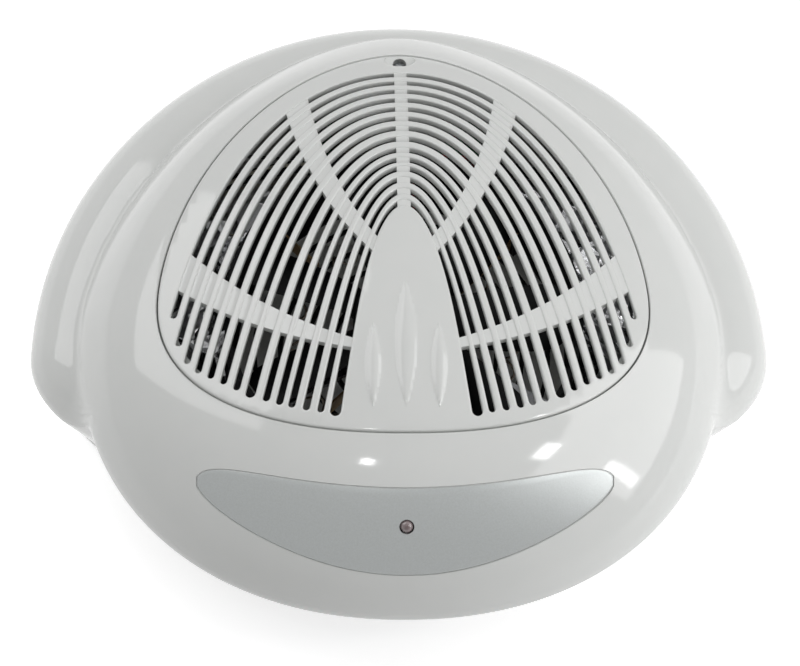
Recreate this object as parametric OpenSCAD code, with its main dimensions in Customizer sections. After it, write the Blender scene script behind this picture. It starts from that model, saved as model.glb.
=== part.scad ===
// Nail polish fan dryer: a domed cover with an intake grille, over a fan, a heater and a hand chamber that is
// open at the front. Millimetres. Origin: centre of the footprint on the table. +Z up, the front is toward -Y.

/* [Outlines, seen from above] */
// Distance of the widest line of the case in front of the origin
waist_y = 20; // [15:1:25]
// Half width across the side wings
wing_half_width = 145; // [135:1:155]
// Reach of the wings in front of the waist
wing_front = 62; // [56:1:68]
// Reach of the wings behind the waist
wing_rear = 152; // [146:1:158]
// Half width of the crown that carries the grille
crown_half_width = 124; // [120:1:130]
// Reach of the crown and its brow in front of the waist
crown_front = 113; // [107:1:118]
// Reach of the crown behind the waist
crown_rear = 137; // [133:1:141]
// Half width of the intake grille
grille_half_width = 92.5; // [88:0.5:97]
// Reach of the grille in front of the waist
grille_front = 58.5; // [54:0.5:62]
// Reach of the grille behind the waist
grille_rear = 119.5; // [116:0.5:122]

/* [Heights] */
// Top of the dome
dome_top = 112; // [108:1:118]
// Radius of the dome
dome_radius = 230; // [220:5:260]
// Distance of the top of the dome in front of the origin
dome_y = 22.5; // [18:0.5:28]
// Height of the brow's lip over the hand opening
lip_z = 58; // [56:1:60]
// Height of the widest line of the wings
rim_z = 42; // [40:1:45]
// Rise of the wings above that line
wing_rise = 24; // [22:1:26]
// Depth of the brow's own lip
lip_depth = 4; // [3:0.5:5]
// Wall of the cover
wall = 2.5; // [2:0.1:3]

/* [Grille] */
// Thickness of the grille
grille_thick = 3.5; // [3:0.1:4]
// Gap between the grille and the cover
grille_gap = 0.5; // [0.3:0.1:0.8]
// Width of the ledge that the grille lies on
grille_ledge = 6; // [5:0.5:7]
// Width of a slot at the rear of the grille
slot_w = 2.5; // [2:0.1:3]
// Place of the first arched slot, behind the waist
slot_first = 105; // [100:0.5:106]
// Place of the last arched slot, behind the waist
slot_last = 33.6; // [30:0.2:36]
// Number of arched slots
slot_count = 14; // [8:1:16]
// Plain border in front of and beside the slots
slot_border = 6.5; // [6:0.5:9]
// Distance of the grille screw behind the origin
grille_screw_y = 94.2; // [93.6:0.2:94.6]

/* [Fan] */
// Radius of the fan blades' tips
fan_r = 63.5; // [58:0.5:64]
// Gap between the blades and the duct
fan_clearance = 2; // [1.5:0.1:3]
// Wall of the duct ring
duct_wall = 2; // [1.6:0.1:2.5]
// Radius of the fan hub
hub_r = 19; // [18:0.5:22]
// Radius of the motor shaft
shaft_r = 1; // [0.8:0.1:1.2]
// Number of fan blades
blade_count = 7; // [5:1:9]
// Pitch of the blades from level
blade_pitch = 32; // [25:1:38]

/* [Base and feet] */
// Height of the rubber feet
foot_h = 3; // [2:0.5:4]
// Thickness of the base tray
base_thick = 5; // [4:0.5:6]
// Half width of the hand chamber
chamber_half_width = 96; // [90:1:98]
// Reach of the hand chamber behind the waist
chamber_rear = 70; // [68:1:74]
// Depth of the two hand wells
well_depth = 2; // [1:0.5:3]
// Radius of the hand wells
well_r = 38; // [30:1:40]

/* [Switch and cord entry] */
// Travel of the rocker to each side, in degrees
rocker_throw = 10; // [8:1:12]
// Radius of the hole in the cord entry
cord_r = 3.2; // [3:0.1:3.5]
// Height of the cord entry
cord_z = 16; // [15.6:0.2:16.4]
// Height of the rocker switch
switch_z = 32; // [31:0.5:33]

/* [Hidden] */

white = [0.86, 0.87, 0.86];
dark = [0.09, 0.09, 0.1];
steel = [0.72, 0.73, 0.75];
brass = [0.78, 0.62, 0.3];
copper = [0.72, 0.43, 0.25];
mica = [0.63, 0.5, 0.32];
fine = 96;
fit = 0.3;
lead_r = 0.7;
motor_lead_x = 5;
heater_lead_x = 7;

// The three outlines share one centre, on the waist. Each is a pair of superellipse halves.
crown_front_power = 2.15;
crown_rear_power = 1.7;
grille_front_power = 2.2;
grille_rear_power = 1.7;
crown_power = 3;
wing_power = 8;
crease_blend = 12;
taper_share = 0.32;
directions = 72;

base_z = foot_h;
base_top = base_z + base_thick;
lip_bottom = lip_z - lip_depth;
seat = grille_thick + 0.35;
plate_thick = 2.5;
plate_top = lip_z + 0.5;
plate_z = plate_top - plate_thick;
duct_r = fan_r + fan_clearance;
duct_top = dome_top - 20;
fan_y = -dome_y;
guard_thick = 2;
guard_r = duct_r + 4;
board_z = plate_top + 0.3;
board_top = board_z + 8;
board_half = duct_r - fit;
mica_thick = 0.8;
coil_path_r = 42;
coil_r = 3;
coil_wire_r = 0.5;
coil_loops = 24;
coil_steps = 8;
coil_z = board_top - coil_r - coil_wire_r;
bracket_z = board_top + 0.7;
bracket_thick = 2.5;
motor_z = bracket_z + bracket_thick;
motor_h = 16;
motor_r = 14;
motor_top = motor_z + motor_h;
can_wall = 1;
hub_top = motor_top + 4.2;
hub_wall = 2;
blade_z = hub_top - 15.5;
screw_r = 1.5;
screw_head_r = 2.65;
screw_head_h = 1.8;
case_posts = [[wing_half_width - 26, -waist_y], [75, 85]];
case_post_r = 4.5;
duct_posts = [spot(23, grille_r(23) + 8.5), spot(-45, crown_r(-45) - 19)];
duct_post_r = 4;
led_y = -109.5;
led_r = 2.5;
rear_y = wing_rear - waist_y;
landing_y = rear_y - 0.8;
lead_exit = [30, fan_y + 80];
lead_hole_r = 3;

function reach(t, half_width, front, rear, front_power, rear_power) =
    let (n = sin(t) < 0 ? front_power : rear_power, b = sin(t) < 0 ? front : rear)
    pow(pow(abs(cos(t)) / half_width, n) + pow(abs(sin(t)) / b, n), -1 / n);
function grille_r(t) =
    reach(t, grille_half_width, grille_front, grille_rear, grille_front_power, grille_rear_power);
function crown_r(t) =
    reach(t, crown_half_width, crown_front, crown_rear, crown_front_power, crown_rear_power);
function wing_r(t) = reach(t, wing_half_width, wing_front, wing_rear, 2, 2);
function edge_r(t) = max(crown_r(t), wing_r(t));
function spot(t, r) = [r * cos(t), r * sin(t) - waist_y];
function direction_of(p) = atan2(p.y + waist_y, p.x);
function reach_of(p) = norm([p.x, p.y + waist_y]);

// Heights of the dome, the crown and the wings, and their blend along the crease
function dome_z(p, inset = 0) =
    dome_top - dome_radius + sqrt(pow(dome_radius - inset, 2) - pow(p.x, 2) - pow(p.y + dome_y, 2));
function crown_z(t, r, inset) =
    let (u = (r - grille_r(t)) / (crown_r(t) - inset - grille_r(t)))
    u < 0 ? dome_z(spot(t, r), inset) :
    u < 1 ? lip_z + (dome_z(spot(t, r), inset) - lip_z) * sqrt(1 - pow(u, crown_power)) :
    lip_z - 80 * (u - 1);
function wing_z(t, r, inset) =
    let (q = r / (wing_r(t) - inset))
    q < 1 ? rim_z + (wing_rise - inset) * sqrt(1 - pow(q, wing_power)) : rim_z - 400 * (q - 1);
function soft_max(a, b, k) = let (h = max(k - abs(a - b), 0) / k) max(a, b) + h * h * k / 4;
function hood_z(t, r, inset = 0) = soft_max(crown_z(t, r, inset), wing_z(t, r, inset), crease_blend);
function hood_height(p, inset = 0) = hood_z(direction_of(p), reach_of(p), inset);

// Below its widest line the case tapers in, least at the back and most at the front
function taper(t) = taper_share * (1 - sin(t));
function wall_r(t, z) = edge_r(t) - taper(t) * (hood_z(t, edge_r(t)) - z);
function smooth_step(a) = let (c = min(max(a, 0), 1)) c * c * (3 - 2 * c);
function from_front(t) = acos(cos(t + 90));
mouth_half_angle = 70;
mouth_blend = 8;
function cover_bottom(t) =
    lip_bottom + (base_top - lip_bottom) * smooth_step((from_front(t) - mouth_half_angle) / mouth_blend + 0.5);

// A closed tube of sections, each a ring of points, that runs round to its own start
module round_loft(rings) {
    n = len(rings);
    m = len(rings[0]);
    polyhedron(points = [for (ring = rings) each ring],
        faces = [for (i = [0:n - 1], j = [0:m - 1])
            let (a = i * m + j, b = (i + 1) % n * m + j, c = (i + 1) % n * m + (j + 1) % m, d = i * m + (j + 1) % m)
            each [[a, b, c], [a, c, d]]]);
}

// A tube of sections with both ends closed
module open_loft(rings) {
    n = len(rings);
    m = len(rings[0]);
    sides = [for (i = [0:n - 2], j = [0:m - 1])
        let (a = i * m + j, b = (i + 1) * m + j, c = (i + 1) * m + (j + 1) % m, d = i * m + (j + 1) % m)
        each [[a, b, c], [a, c, d]]];
    polyhedron(points = [for (ring = rings) each ring],
        faces = concat(sides, [[for (j = [0:m - 1]) j]], [[for (j = [m - 1:-1:0]) (n - 1) * m + j]]));
}

// Points of the cover's inner face, from the grille out to the edge, and the height between them
inner_steps = 8;
function inner_point(t, k) =
    let (inner = grille_r(t) + wall, r = inner + (edge_r(t) - wall - inner) * sin(90 * k / inner_steps))
    [r, hood_z(t, r, wall)];
function inner_z(t, r) = lookup(r, [for (k = [0:inner_steps]) inner_point(t, k)]);

function cover_section(t) =
    let (s = grille_r(t), edge = edge_r(t), bottom = cover_bottom(t), inner = s + wall,
        soft = 0.8, outer_steps = 11)
    concat(
        [[s - grille_ledge, dome_z(spot(t, s - grille_ledge), seat)], [s, dome_z(spot(t, s), seat)],
            [s, dome_z(spot(t, s)) - soft]],
        [for (k = [0:outer_steps]) let (r = s + soft + (edge - s - soft) * sin(90 * k / outer_steps))
            [r, hood_z(t, r)]],
        [[wall_r(t, bottom), bottom], [wall_r(t, bottom) - wall, bottom]],
        [for (k = [inner_steps:-1:0]) inner_point(t, k)],
        [[inner, dome_z(spot(t, s), seat) - wall],
            [s - grille_ledge, dome_z(spot(t, s - grille_ledge), seat) - wall]]);

module on_both_sides() {
    children();
    mirror([1, 0, 0]) children();
}

// A post that hangs from the cover, bored from below for a screw. Its top ends inside the cover's wall.
function post_top(p, r) = inner_z(direction_of(p), reach_of(p) + r) + 1.2;
module post(p, bottom, top, r) {
    translate([p.x, p.y, bottom]) difference() {
        cylinder(h = top - bottom, r = r, $fn = 32);
        translate([0, 0, -1]) cylinder(h = min(13, top - bottom - 1), r = screw_r - 0.2, $fn = 32);
    }
}

// A post that stands on the base, bored from above
module standing_post(p, top, r) {
    translate([p.x, p.y, base_top - 0.5]) difference() {
        cylinder(h = top - base_top + 0.5, r = r, $fn = 32);
        translate([0, 0, 1.5]) cylinder(h = 40, r = screw_r - 0.2, $fn = 32);
    }
}

// A round-headed screw that points up from z, with its head below
module screw_up(length) {
    cylinder(h = length, r = screw_r - 0.25, $fn = 32);
    difference() {
        translate([0, 0, -screw_head_h]) cylinder(h = screw_head_h, r = screw_head_r, $fn = 32);
        for (turn = [0, 90]) rotate([0, 0, turn])
            translate([0, 0, -screw_head_h]) cube([3, 0.8, 1.4], center = true);
    }
}

// The frame of the indicator: its axis is square to the brow's surface
led_slope = atan2(hood_height([0, led_y + 1]) - hood_height([0, led_y - 1]), 2);
led_board_depth = 9;
module on_brow() {
    translate([0, led_y, hood_height([0, led_y])]) rotate([led_slope, 0, 0]) children();
}

grille_seat_z = dome_z([0, grille_screw_y]) - 2;
grille_boss_bottom = grille_seat_z - 6.2;

// ---- The cover and its trim

module top_cover() color(white) {
    difference() {
        union() {
            round_loft([for (i = [0:directions - 1]) let (t = 360 * i / directions)
                [for (p = cover_section(t)) [spot(t, p.x).x, spot(t, p.x).y, p.y]]]);
            on_both_sides() {
                for (p = case_posts) post(p, base_top, post_top(p, case_post_r), case_post_r);
                for (p = duct_posts) post(p, plate_top, post_top(p, duct_post_r), duct_post_r);
            }
            post([0, grille_screw_y], grille_boss_bottom - 13, grille_boss_bottom - 0.2, 5.5);
            translate([-1.5, grille_screw_y + 5, grille_boss_bottom - 13]) cube([3, 12, 7]);
        }
        translate([0, grille_screw_y, grille_boss_bottom - 0.2]) cylinder(h = 20, r = 4.7, $fn = 48);
        translate([0, grille_screw_y, grille_boss_bottom - 12]) cylinder(h = 20, r = screw_r - 0.2, $fn = 32);
        on_brow() cylinder(h = 12, r = led_r + fit, center = true, $fn = 48);
        label_space(0.15, 0.5);
        translate([0, rear_y, cord_z]) rotate([90, 0, 0])
            cylinder(h = 12, r = gland_r + 0.1, center = true, $fn = 48);
        translate([0, landing_y, cord_z]) rotate([-90, 0, 0]) cylinder(h = 12, r = gland_flange_r + 0.3, $fn = 64);
        translate([0, rear_y, switch_z]) cube([switch_w + 0.4, 14, switch_h + 0.4], center = true);
        translate([-bezel_w / 2 - 0.3, landing_y, switch_z - bezel_h / 2 - 0.3]) cube([bezel_w + 0.6, 12, bezel_h + 0.6]);
    }
    on_brow() for (side = [-1, 1]) translate([9 * side, 0, -led_board_depth]) difference() {
        cylinder(h = led_board_depth - 1.2, r = 2.6, $fn = 32);
        translate([0, 0, -1]) cylinder(h = 7, r = 0.9, $fn = 32);
    }
}

// Each slot is an arch: its side distance grows with the distance d from its top, round at the top and
// drawn in farther out. f runs from 0 at the first slot to 1 at the last. Slots 7 and 13 have wider legs,
// and the slots near number 8 sit a little nearer the middle.
arch_outer = 94.6;
arch_inner = 7.6;
arch_power = 1.46;
arch_draw = 0.325;
arch_flare = 0.0006;
function wider(i) = i == 7 ? [0.9, 0.4] : i == 13 ? [0.9, 2.2] : [0, 0];
function slot_place(i) = i / (slot_count - 1) + 0.013 * exp(-pow((i - 8) / 1.2, 2)) - (i > 9 ? 0.007 : 0);
function arch_top(f) = slot_first + (slot_last - slot_first) * f - waist_y;
function arch_width(f, d) =
    let (inside = max(1 - f, 0), open = arch_inner + (arch_outer - arch_inner) * pow(inside, arch_power))
    sqrt(max(d * (open - arch_draw * pow(inside, 1.53) * d + arch_flare * pow(inside, 0.3) * d * d), 0));
function arch_edge(f, extra, side, steps = 12) =
    [for (k = [0:steps]) let (d = (arch_top(f) + waist_y + grille_front - 3) * pow(k / steps, 2))
        [side * (arch_width(f, d) + extra * smooth_step(d / 50)), arch_top(f) - d]];
function reversed(list) = [for (i = [len(list) - 1:-1:0]) list[i]];
function slot_outline(i) =
    let (half = slot_w / 2 / (slot_first - slot_last), f = slot_place(i), more = wider(i))
    concat(reversed(arch_edge(f - half, more[0], -1)), [for (k = [1:12]) arch_edge(f - half, more[0], 1)[k]],
        reversed(arch_edge(f + half, -more[1], 1)), [for (k = [1:12]) arch_edge(f + half, -more[1], -1)[k]]);

// A band that crosses the slots, along a bent line from a to c past b, as wide as w0 to w1
function bent(a, b, c, u) = a * pow(1 - u, 2) + b * 2 * u * (1 - u) + c * u * u;
function band_outline(a, b, c, w0, w1, steps = 6) =
    let (side = function (u, s) let (v = (b - a) * (1 - u) + (c - b) * u)
        bent(a, b, c, u) + s * (w0 + (w1 - w0) * u) / 2 * [-v.y, v.x] / norm(v))
    concat([for (k = [0:steps]) side(k / steps, 1)], [for (k = [steps:-1:0]) side(k / steps, -1)]);
rear_band = band_outline([42, 74], [32.5, 18], [8, -8], 10, 5);
front_band = band_outline([94, 3], [60, -36.5], [12, -46.5], 16, 2.5);

function grille_outline(inset) = [for (t = [0:5:355]) spot(t, grille_r(t) - inset)];

module grille_skin(raise, depth) {
    translate([0, -dome_y, dome_top - dome_radius]) difference() {
        sphere(r = dome_radius + raise, $fn = 180);
        sphere(r = dome_radius - depth, $fn = 180);
    }
}

// A raised ridge on the tongue, as long as length and as wide as width, pointed at both ends
module ridge(x, y, length, width) {
    r = (pow(length / 2, 2) + pow(width / 2, 2)) / width;
    intersection() {
        for_ridge_arc(x, y, r, width, 1);
        for_ridge_arc(x, y, r, width, -1);
    }
}
module for_ridge_arc(x, y, r, width, side) {
    translate([x + side * (r - width / 2), y, 80]) cylinder(h = 40, r = r, $fn = 180);
}

hook_x = 18;
hook_y = -grille_front - waist_y + 7.5;
hook_z = dome_z([hook_x, hook_y - 3.4], seat) - wall - 2.2;
module intake_grille() color(white) {
    difference() {
        intersection() {
            translate([0, 0, 60]) linear_extrude(60) polygon(grille_outline(grille_gap));
            grille_skin(0, grille_thick);
        }
        translate([0, 0, 60]) linear_extrude(60) difference() {
            intersection() {
                union() for (i = [0:slot_count - 1]) polygon(slot_outline(i));
                polygon(grille_outline(slot_border));
            }
            translate([-2.5, 0]) square([5, grille_rear]);
            on_both_sides() {
                polygon(rear_band);
                polygon(front_band);
            }
        }
        translate([0, grille_screw_y, grille_seat_z]) intersection() {
            cylinder(h = 10, r = 6.3, $fn = 64);
            translate([-8, -3.2, 0]) cube([16, 7.4, 10]);
        }
        translate([0, grille_screw_y, 60]) cylinder(h = 40, r = screw_r + 0.2, $fn = 32);
        translate([0, grille_screw_y, grille_seat_z - 3.5]) cylinder(h = 10, r = screw_head_r + 0.1, $fn = 48);
    }
    difference() {
        translate([0, grille_screw_y, grille_boss_bottom]) cylinder(h = 6.2, r = 4.3, $fn = 48);
        translate([0, grille_screw_y, 60]) cylinder(h = 40, r = screw_r + 0.2, $fn = 32);
        translate([0, grille_screw_y, grille_seat_z - 3.5]) cylinder(h = 10, r = screw_head_r + 0.1, $fn = 48);
    }
    intersection() {
        grille_skin(1, 1);
        union() {
            ridge(0, -45, 50, 8.6);
            on_both_sides() ridge(12, -53.5, 32, 6);
        }
    }
    on_both_sides() translate([hook_x - 4, hook_y, hook_z]) {
        cube([8, 1.8, 6]);
        translate([0, -3.4, 0]) cube([8, 4, 1.8]);
    }
}

module grille_screw() color(steel) {
    translate([0, grille_screw_y, grille_seat_z - 3.5]) mirror([0, 0, 1]) screw_up(12);
}

label_half = 76;
label_columns = 24;
// The label's rear and front edges: two bowed lines that meet in blunt ends. u runs from -1 to 1.
function label_end(u) = sqrt(1 - pow(abs(u), 12));
function label_rear(u) = -84 - 13.4 * pow(1 - u * u, 1.2) - 5 * (1 - label_end(u));
function label_front(u) = -123.1 + 29.6 * pow(abs(u), 2.05) + 4.5 * (1 - label_end(u));
function label_ring(u, grow, low, high) =
    let (x = u * (label_half + grow), y0 = label_rear(u * 0.995) + grow, y1 = label_front(u * 0.995) - grow, rows = 4,
        edge = [for (k = [0:rows]) [x, y0 + (y1 - y0) * k / rows]])
    concat([for (p = edge) [p.x, p.y, hood_height(p) - low]],
        [for (p = reversed(edge)) [p.x, p.y, hood_height(p) + high]]);
module label_solid(grow, low, high) {
    open_loft([for (k = [label_columns:-1:0]) label_ring(sin(90 * (2 * k / label_columns - 1)), grow, low, high)]);
}
module label_space(grow, depth) {
    label_solid(grow, depth, 3);
}

module panel_label() color([0.68, 0.7, 0.71]) difference() {
    label_solid(0, 0.45, 0);
    on_brow() cylinder(h = 8, r = led_r + 0.2, center = true, $fn = 48);
}

module indicator_led() color([0.72, 0.45, 0.45]) on_brow() {
    rotate_extrude($fn = 48)
        polygon(concat([[0, -5.2], [2.9, -5.2], [2.9, -4.2], [2.45, -4.2]],
            [for (a = [0:15:90]) [2.45 * cos(a), -1.6 + 2.3 * sin(a)]]));
    for (side = [-1, 1]) translate([1.27 * side, 0, -10.6]) cylinder(h = 5.6, r = 0.25, $fn = 24);
}

module led_board() color([0.12, 0.35, 0.22]) on_brow() difference() {
    translate([-12.5, -6, -led_board_depth - 1.6]) cube([25, 12, 1.5]);
    for (side = [-1, 1]) translate([9 * side, 0, -12]) cylinder(h = 5, r = 1.1, $fn = 32);
    for (side = [-1, 1]) translate([1.27 * side, 0, -12]) cylinder(h = 5, r = 0.3, $fn = 24);
}

module led_board_screws() color(steel) on_brow() for (side = [-1, 1])
    translate([9 * side, 0, -led_board_depth - 1.6]) {
        cylinder(h = 6, r = 0.85, $fn = 32);
        translate([0, 0, -1.2]) cylinder(h = 1.2, r = 1.8, $fn = 32);
    }

// ---- The duct, the guard and the heater

function plate_r(t) = reach(t, crown_half_width - wall - 2.2, crown_front - wall - 2.2, chamber_rear + 14,
    crown_front_power, 2.4);

module plate_outline(inset) {
    polygon([for (t = [0:5:355]) spot(t, plate_r(t) - inset)]);
}

lug_angles = [90, 210, 330];
guard_angles = [30, 150, 270];
module air_duct() color(dark) {
    difference() {
        translate([0, 0, plate_z]) linear_extrude(plate_thick) plate_outline(0);
        translate([0, fan_y, plate_z - 1]) cylinder(h = 10, r = duct_r, $fn = fine);
        on_both_sides() {
            for (p = duct_posts) translate([p.x, p.y, plate_z - 1]) cylinder(h = 10, r = screw_r, $fn = 32);
            translate([case_posts[0].x, case_posts[0].y, plate_z - 1])
                cylinder(h = 10, r = case_post_r + 0.6, $fn = 48);
            translate([lead_exit.x, lead_exit.y, plate_z - 1]) cylinder(h = 10, r = lead_hole_r, $fn = 32);
        }
        for (a = guard_angles) translate([0, fan_y, plate_z - 1]) rotate([0, 0, a])
            translate([guard_r - 1.9, 0, 0]) cylinder(h = 2.5, r = 0.9, $fn = 24);
    }
    translate([0, fan_y, plate_top]) difference() {
        cylinder(h = duct_top - plate_top, r = duct_r + duct_wall, $fn = fine);
        translate([0, 0, -1]) cylinder(h = duct_top, r = duct_r, $fn = fine);
        for (x = [-heater_lead_x, heater_lead_x]) translate([x, duct_r, coil_z - plate_top]) rotate([90, 0, 0])
            cylinder(h = 12, r = lead_r + 0.3, center = true, $fn = 24);
        translate([motor_lead_x, duct_r, motor_z + 1.3 - plate_top]) rotate([90, 0, 0])
            cylinder(h = 12, r = lead_r + 0.3, center = true, $fn = 24);
    }
    for (a = [45:90:315]) translate([0, fan_y, 0]) rotate([0, 0, a]) difference() {
        translate([duct_r - 4.5, -2.5, plate_z]) cube([4.8, 5, board_top - plate_z]);
        translate([0, -mica_thick / 2 - 0.1, board_z]) cube([duct_r - 0.1, mica_thick + 0.2, 20]);
    }
    for (a = lug_angles) translate([0, fan_y, plate_top]) rotate([0, 0, a]) difference() {
        translate([duct_r - 7, -4, 0]) cube([7.5, 8, bracket_z - plate_top]);
        translate([duct_r - 3.5, 0, 1]) cylinder(h = 20, r = 1.2, $fn = 32);
    }
}

module duct_screws() color(steel) on_both_sides() for (p = duct_posts)
    translate([p.x, p.y, plate_z]) screw_up(9);

guard_rings = [17, 27, 37, 47, 57];
module outlet_guard() color(dark) translate([0, fan_y, plate_z - guard_thick]) {
    difference() {
        cylinder(h = guard_thick, r = guard_r, $fn = fine);
        translate([0, 0, -1]) cylinder(h = 5, r = duct_r - 2, $fn = fine);
        for (a = guard_angles) rotate([0, 0, a]) translate([guard_r - 1.9, 0, -1])
            cylinder(h = 5, r = 1.1, $fn = 24);
    }
    for (r = guard_rings) difference() {
        cylinder(h = guard_thick, r = r + 0.9, $fn = fine);
        translate([0, 0, -1]) cylinder(h = 5, r = r - 0.9, $fn = fine);
    }
    for (a = [20:60:320]) rotate([0, 0, a]) translate([guard_rings[0] - 0.4, -0.9, 0])
        cube([duct_r - guard_rings[0] - 0.8, 1.8, guard_thick]);
}

module guard_screws() color(steel) for (a = guard_angles) translate([0, fan_y, plate_z - guard_thick])
    rotate([0, 0, a]) translate([guard_r - 1.9, 0, 0]) {
        cylinder(h = 3.2, r = 0.85, $fn = 24);
        translate([0, 0, -0.9]) cylinder(h = 0.9, r = 1.7, $fn = 24);
    }

module heat_shield() color([0.8, 0.81, 0.83]) difference() {
    translate([0, 0, plate_top]) linear_extrude(0.5) plate_outline(6);
    translate([0, fan_y, plate_top]) cylinder(h = 5, r = duct_r + duct_wall + 0.4, $fn = fine);
    on_both_sides() {
        for (p = duct_posts) translate([p.x, p.y, plate_top - 1]) cylinder(h = 5, r = duct_post_r + 0.5, $fn = 48);
        translate([case_posts[0].x, case_posts[0].y, plate_top - 1])
            cylinder(h = 5, r = case_post_r + 0.6, $fn = 48);
        translate([lead_exit.x, lead_exit.y, plate_top - 1]) cylinder(h = 5, r = lead_hole_r + 0.5, $fn = 32);
    }
}

coil_clear = coil_r + coil_wire_r + 0.15;
module mica_strip(slot_from_top) {
    half_slot = (board_top - board_z) / 2;
    difference() {
        translate([-board_half, -mica_thick / 2, board_z]) cube([2 * board_half, mica_thick, board_top - board_z]);
        for (side = [-1, 1]) hull() for (rise = [0, 10])
            translate([side * coil_path_r, 0, coil_z + rise]) rotate([90, 0, 0])
                cylinder(h = 4, r = coil_clear, center = true, $fn = 32);
        translate([-mica_thick / 2 - 0.05, -2, slot_from_top ? board_z + half_slot - 0.05 : board_z - 1])
            cube([mica_thick + 0.1, 4, half_slot + 1.05]);
    }
}
module mica_board_a() color(mica) translate([0, fan_y, 0]) rotate([0, 0, 45]) mica_strip(true);
module mica_board_b() color(mica) translate([0, fan_y, 0]) rotate([0, 0, -45]) mica_strip(false);

// The heater wire: one helix round a circle, left open over the width of its two ends
coil_gap_angle = 12;
function coil_point(u) =
    let (a = 90 + coil_gap_angle / 2 + (360 - coil_gap_angle) * u, b = 360 * coil_loops * u,
        r = coil_path_r + coil_r * cos(b))
    [r * cos(a), fan_y + r * sin(a), coil_z + coil_r * sin(b)];
coil_points = [for (k = [0:coil_loops * coil_steps]) coil_point(k / (coil_loops * coil_steps))];
function min_gap(points, skip, wire_r) =
    min([for (i = [0:len(points) - 1], j = [i + skip:1:len(points) - 1]) norm(points[i] - points[j])]) - 2 * wire_r;
echo(coil_least_gap = min_gap(coil_points, coil_steps - 2, coil_wire_r));

// A tube along a line of points, with a ring of the given number of sides at each
function unit(v) = v / norm(v);
function along(points, i) = unit(points[min(i + 1, len(points) - 1)] - points[max(i - 1, 0)]);
function across(d) = unit(cross(d, abs(d.z) < 0.9 ? [0, 0, 1] : [1, 0, 0]));
// Carries the ring's start along the line without a twist
function carried(points, i, previous) = let (d = along(points, i)) unit(previous - d * (previous * d));
function frames(points, i, found) =
    i >= len(points) ? found : frames(points, i + 1, concat(found, [carried(points, i, found[i - 1])]));
module tube(points, r, sides) {
    starts = frames(points, 1, [across(along(points, 0))]);
    open_loft([for (i = [0:len(points) - 1]) let (d = along(points, i), s = starts[i], w = cross(d, s))
        [for (k = [0:sides - 1]) points[i] + r * (s * cos(360 * k / sides) + w * sin(360 * k / sides))]]);
}

module heater_coil() color(steel) tube(coil_points, coil_wire_r, 6);

cutout = [-58, 32];
module thermal_cutout() color(steel) translate([cutout.x, cutout.y, plate_top + 0.5]) rotate([0, 0, 45]) {
    cylinder(h = 5, r = 6.5, $fn = 48);
    translate([-10, -3, 0]) cube([20, 6, 1]);
}

// ---- The motor and the fan

module motor_bracket() color(steel) translate([0, fan_y, bracket_z]) difference() {
    union() {
        cylinder(h = bracket_thick, r = motor_r + 2, $fn = 64);
        for (a = lug_angles) rotate([0, 0, a]) translate([motor_r - 2, -3.5, 0])
            cube([duct_r - motor_r + 1.5, 7, bracket_thick]);
    }
    translate([0, 0, -1]) cylinder(h = 10, r = 4, $fn = 48);
    for (a = lug_angles) rotate([0, 0, a]) translate([duct_r - 3.5, 0, -1]) cylinder(h = 10, r = 1.7, $fn = 32);
    for (side = [-1, 1]) translate([8.5 * side, 0, -1]) cylinder(h = 10, r = 1.4, $fn = 32);
}

module bracket_screws() color(steel) for (a = lug_angles) translate([0, fan_y, motor_z]) rotate([0, 0, a])
    translate([duct_r - 3.5, 0, 0]) {
        translate([0, 0, -7]) cylinder(h = 7, r = 1.1, $fn = 32);
        cylinder(h = 1.6, r = 2.6, $fn = 32);
    }

module motor_can() color(steel) translate([0, fan_y, motor_z]) difference() {
    union() {
        cylinder(h = motor_h, r = motor_r, $fn = 64);
        cylinder(h = motor_h + 1.5, r = 4, $fn = 48);
    }
    translate([0, 0, -1]) cylinder(h = motor_h, r = motor_r - can_wall, $fn = 64);
    translate([0, 0, motor_h - 3]) cylinder(h = 10, r = 3, $fn = 48);
    translate([3, 13, 2.9]) rotate([90, 0, 0]) cylinder(h = 6, r = lead_r + 0.1, center = true, $fn = 24);
}

module motor_end_cap() color(dark) translate([0, fan_y, motor_z]) difference() {
    cylinder(h = 2, r = motor_r - can_wall - 0.1, $fn = 64);
    translate([0, 0, -1]) cylinder(h = 5, r = 3, $fn = 48);
    for (side = [-1, 1]) translate([8.5 * side, 0, -1]) cylinder(h = 5, r = 1.1, $fn = 32);
}

module motor_magnets() color([0.25, 0.25, 0.27]) translate([0, fan_y, motor_z + 4]) difference() {
    cylinder(h = 10, r = motor_r - can_wall - 0.1, $fn = 64);
    translate([0, 0, -1]) cylinder(h = 12, r = 10.4, $fn = 64);
    cube([40, 8, 40], center = true);
}

module motor_brushes() color(copper) translate([0, fan_y, motor_z + 2]) for (side = [-1, 1])
    translate([side > 0 ? 3.1 : -6.1, 3.5, 0]) {
        cube([3, 0.4, 2.6]);
        translate([side > 0 ? 0 : 1.4, -4.9, 1.2]) cube([1.6, 4.9, 1.4]);
    }

module bush(h) difference() {
    cylinder(h = h, r = 2.95, $fn = 48);
    translate([0, 0, -1]) cylinder(h = h + 2, r = shaft_r + 0.03, $fn = 48);
}
module upper_bearing() color(brass) translate([0, fan_y, motor_top - 2]) bush(3.2);
module lower_bearing() color(brass) translate([0, fan_y, motor_z]) bush(2.2);

module motor_screws() color(steel) for (side = [-1, 1]) translate([8.5 * side, fan_y, bracket_z]) {
    cylinder(h = 4.7, r = 1, $fn = 32);
    translate([0, 0, -0.6]) cylinder(h = 0.6, r = 2.2, $fn = 32);
}

module motor_shaft() color(steel) translate([0, fan_y, motor_z - 1])
    cylinder(h = hub_top + 2.4 - motor_z + 1, r = shaft_r, $fn = 48);

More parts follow.
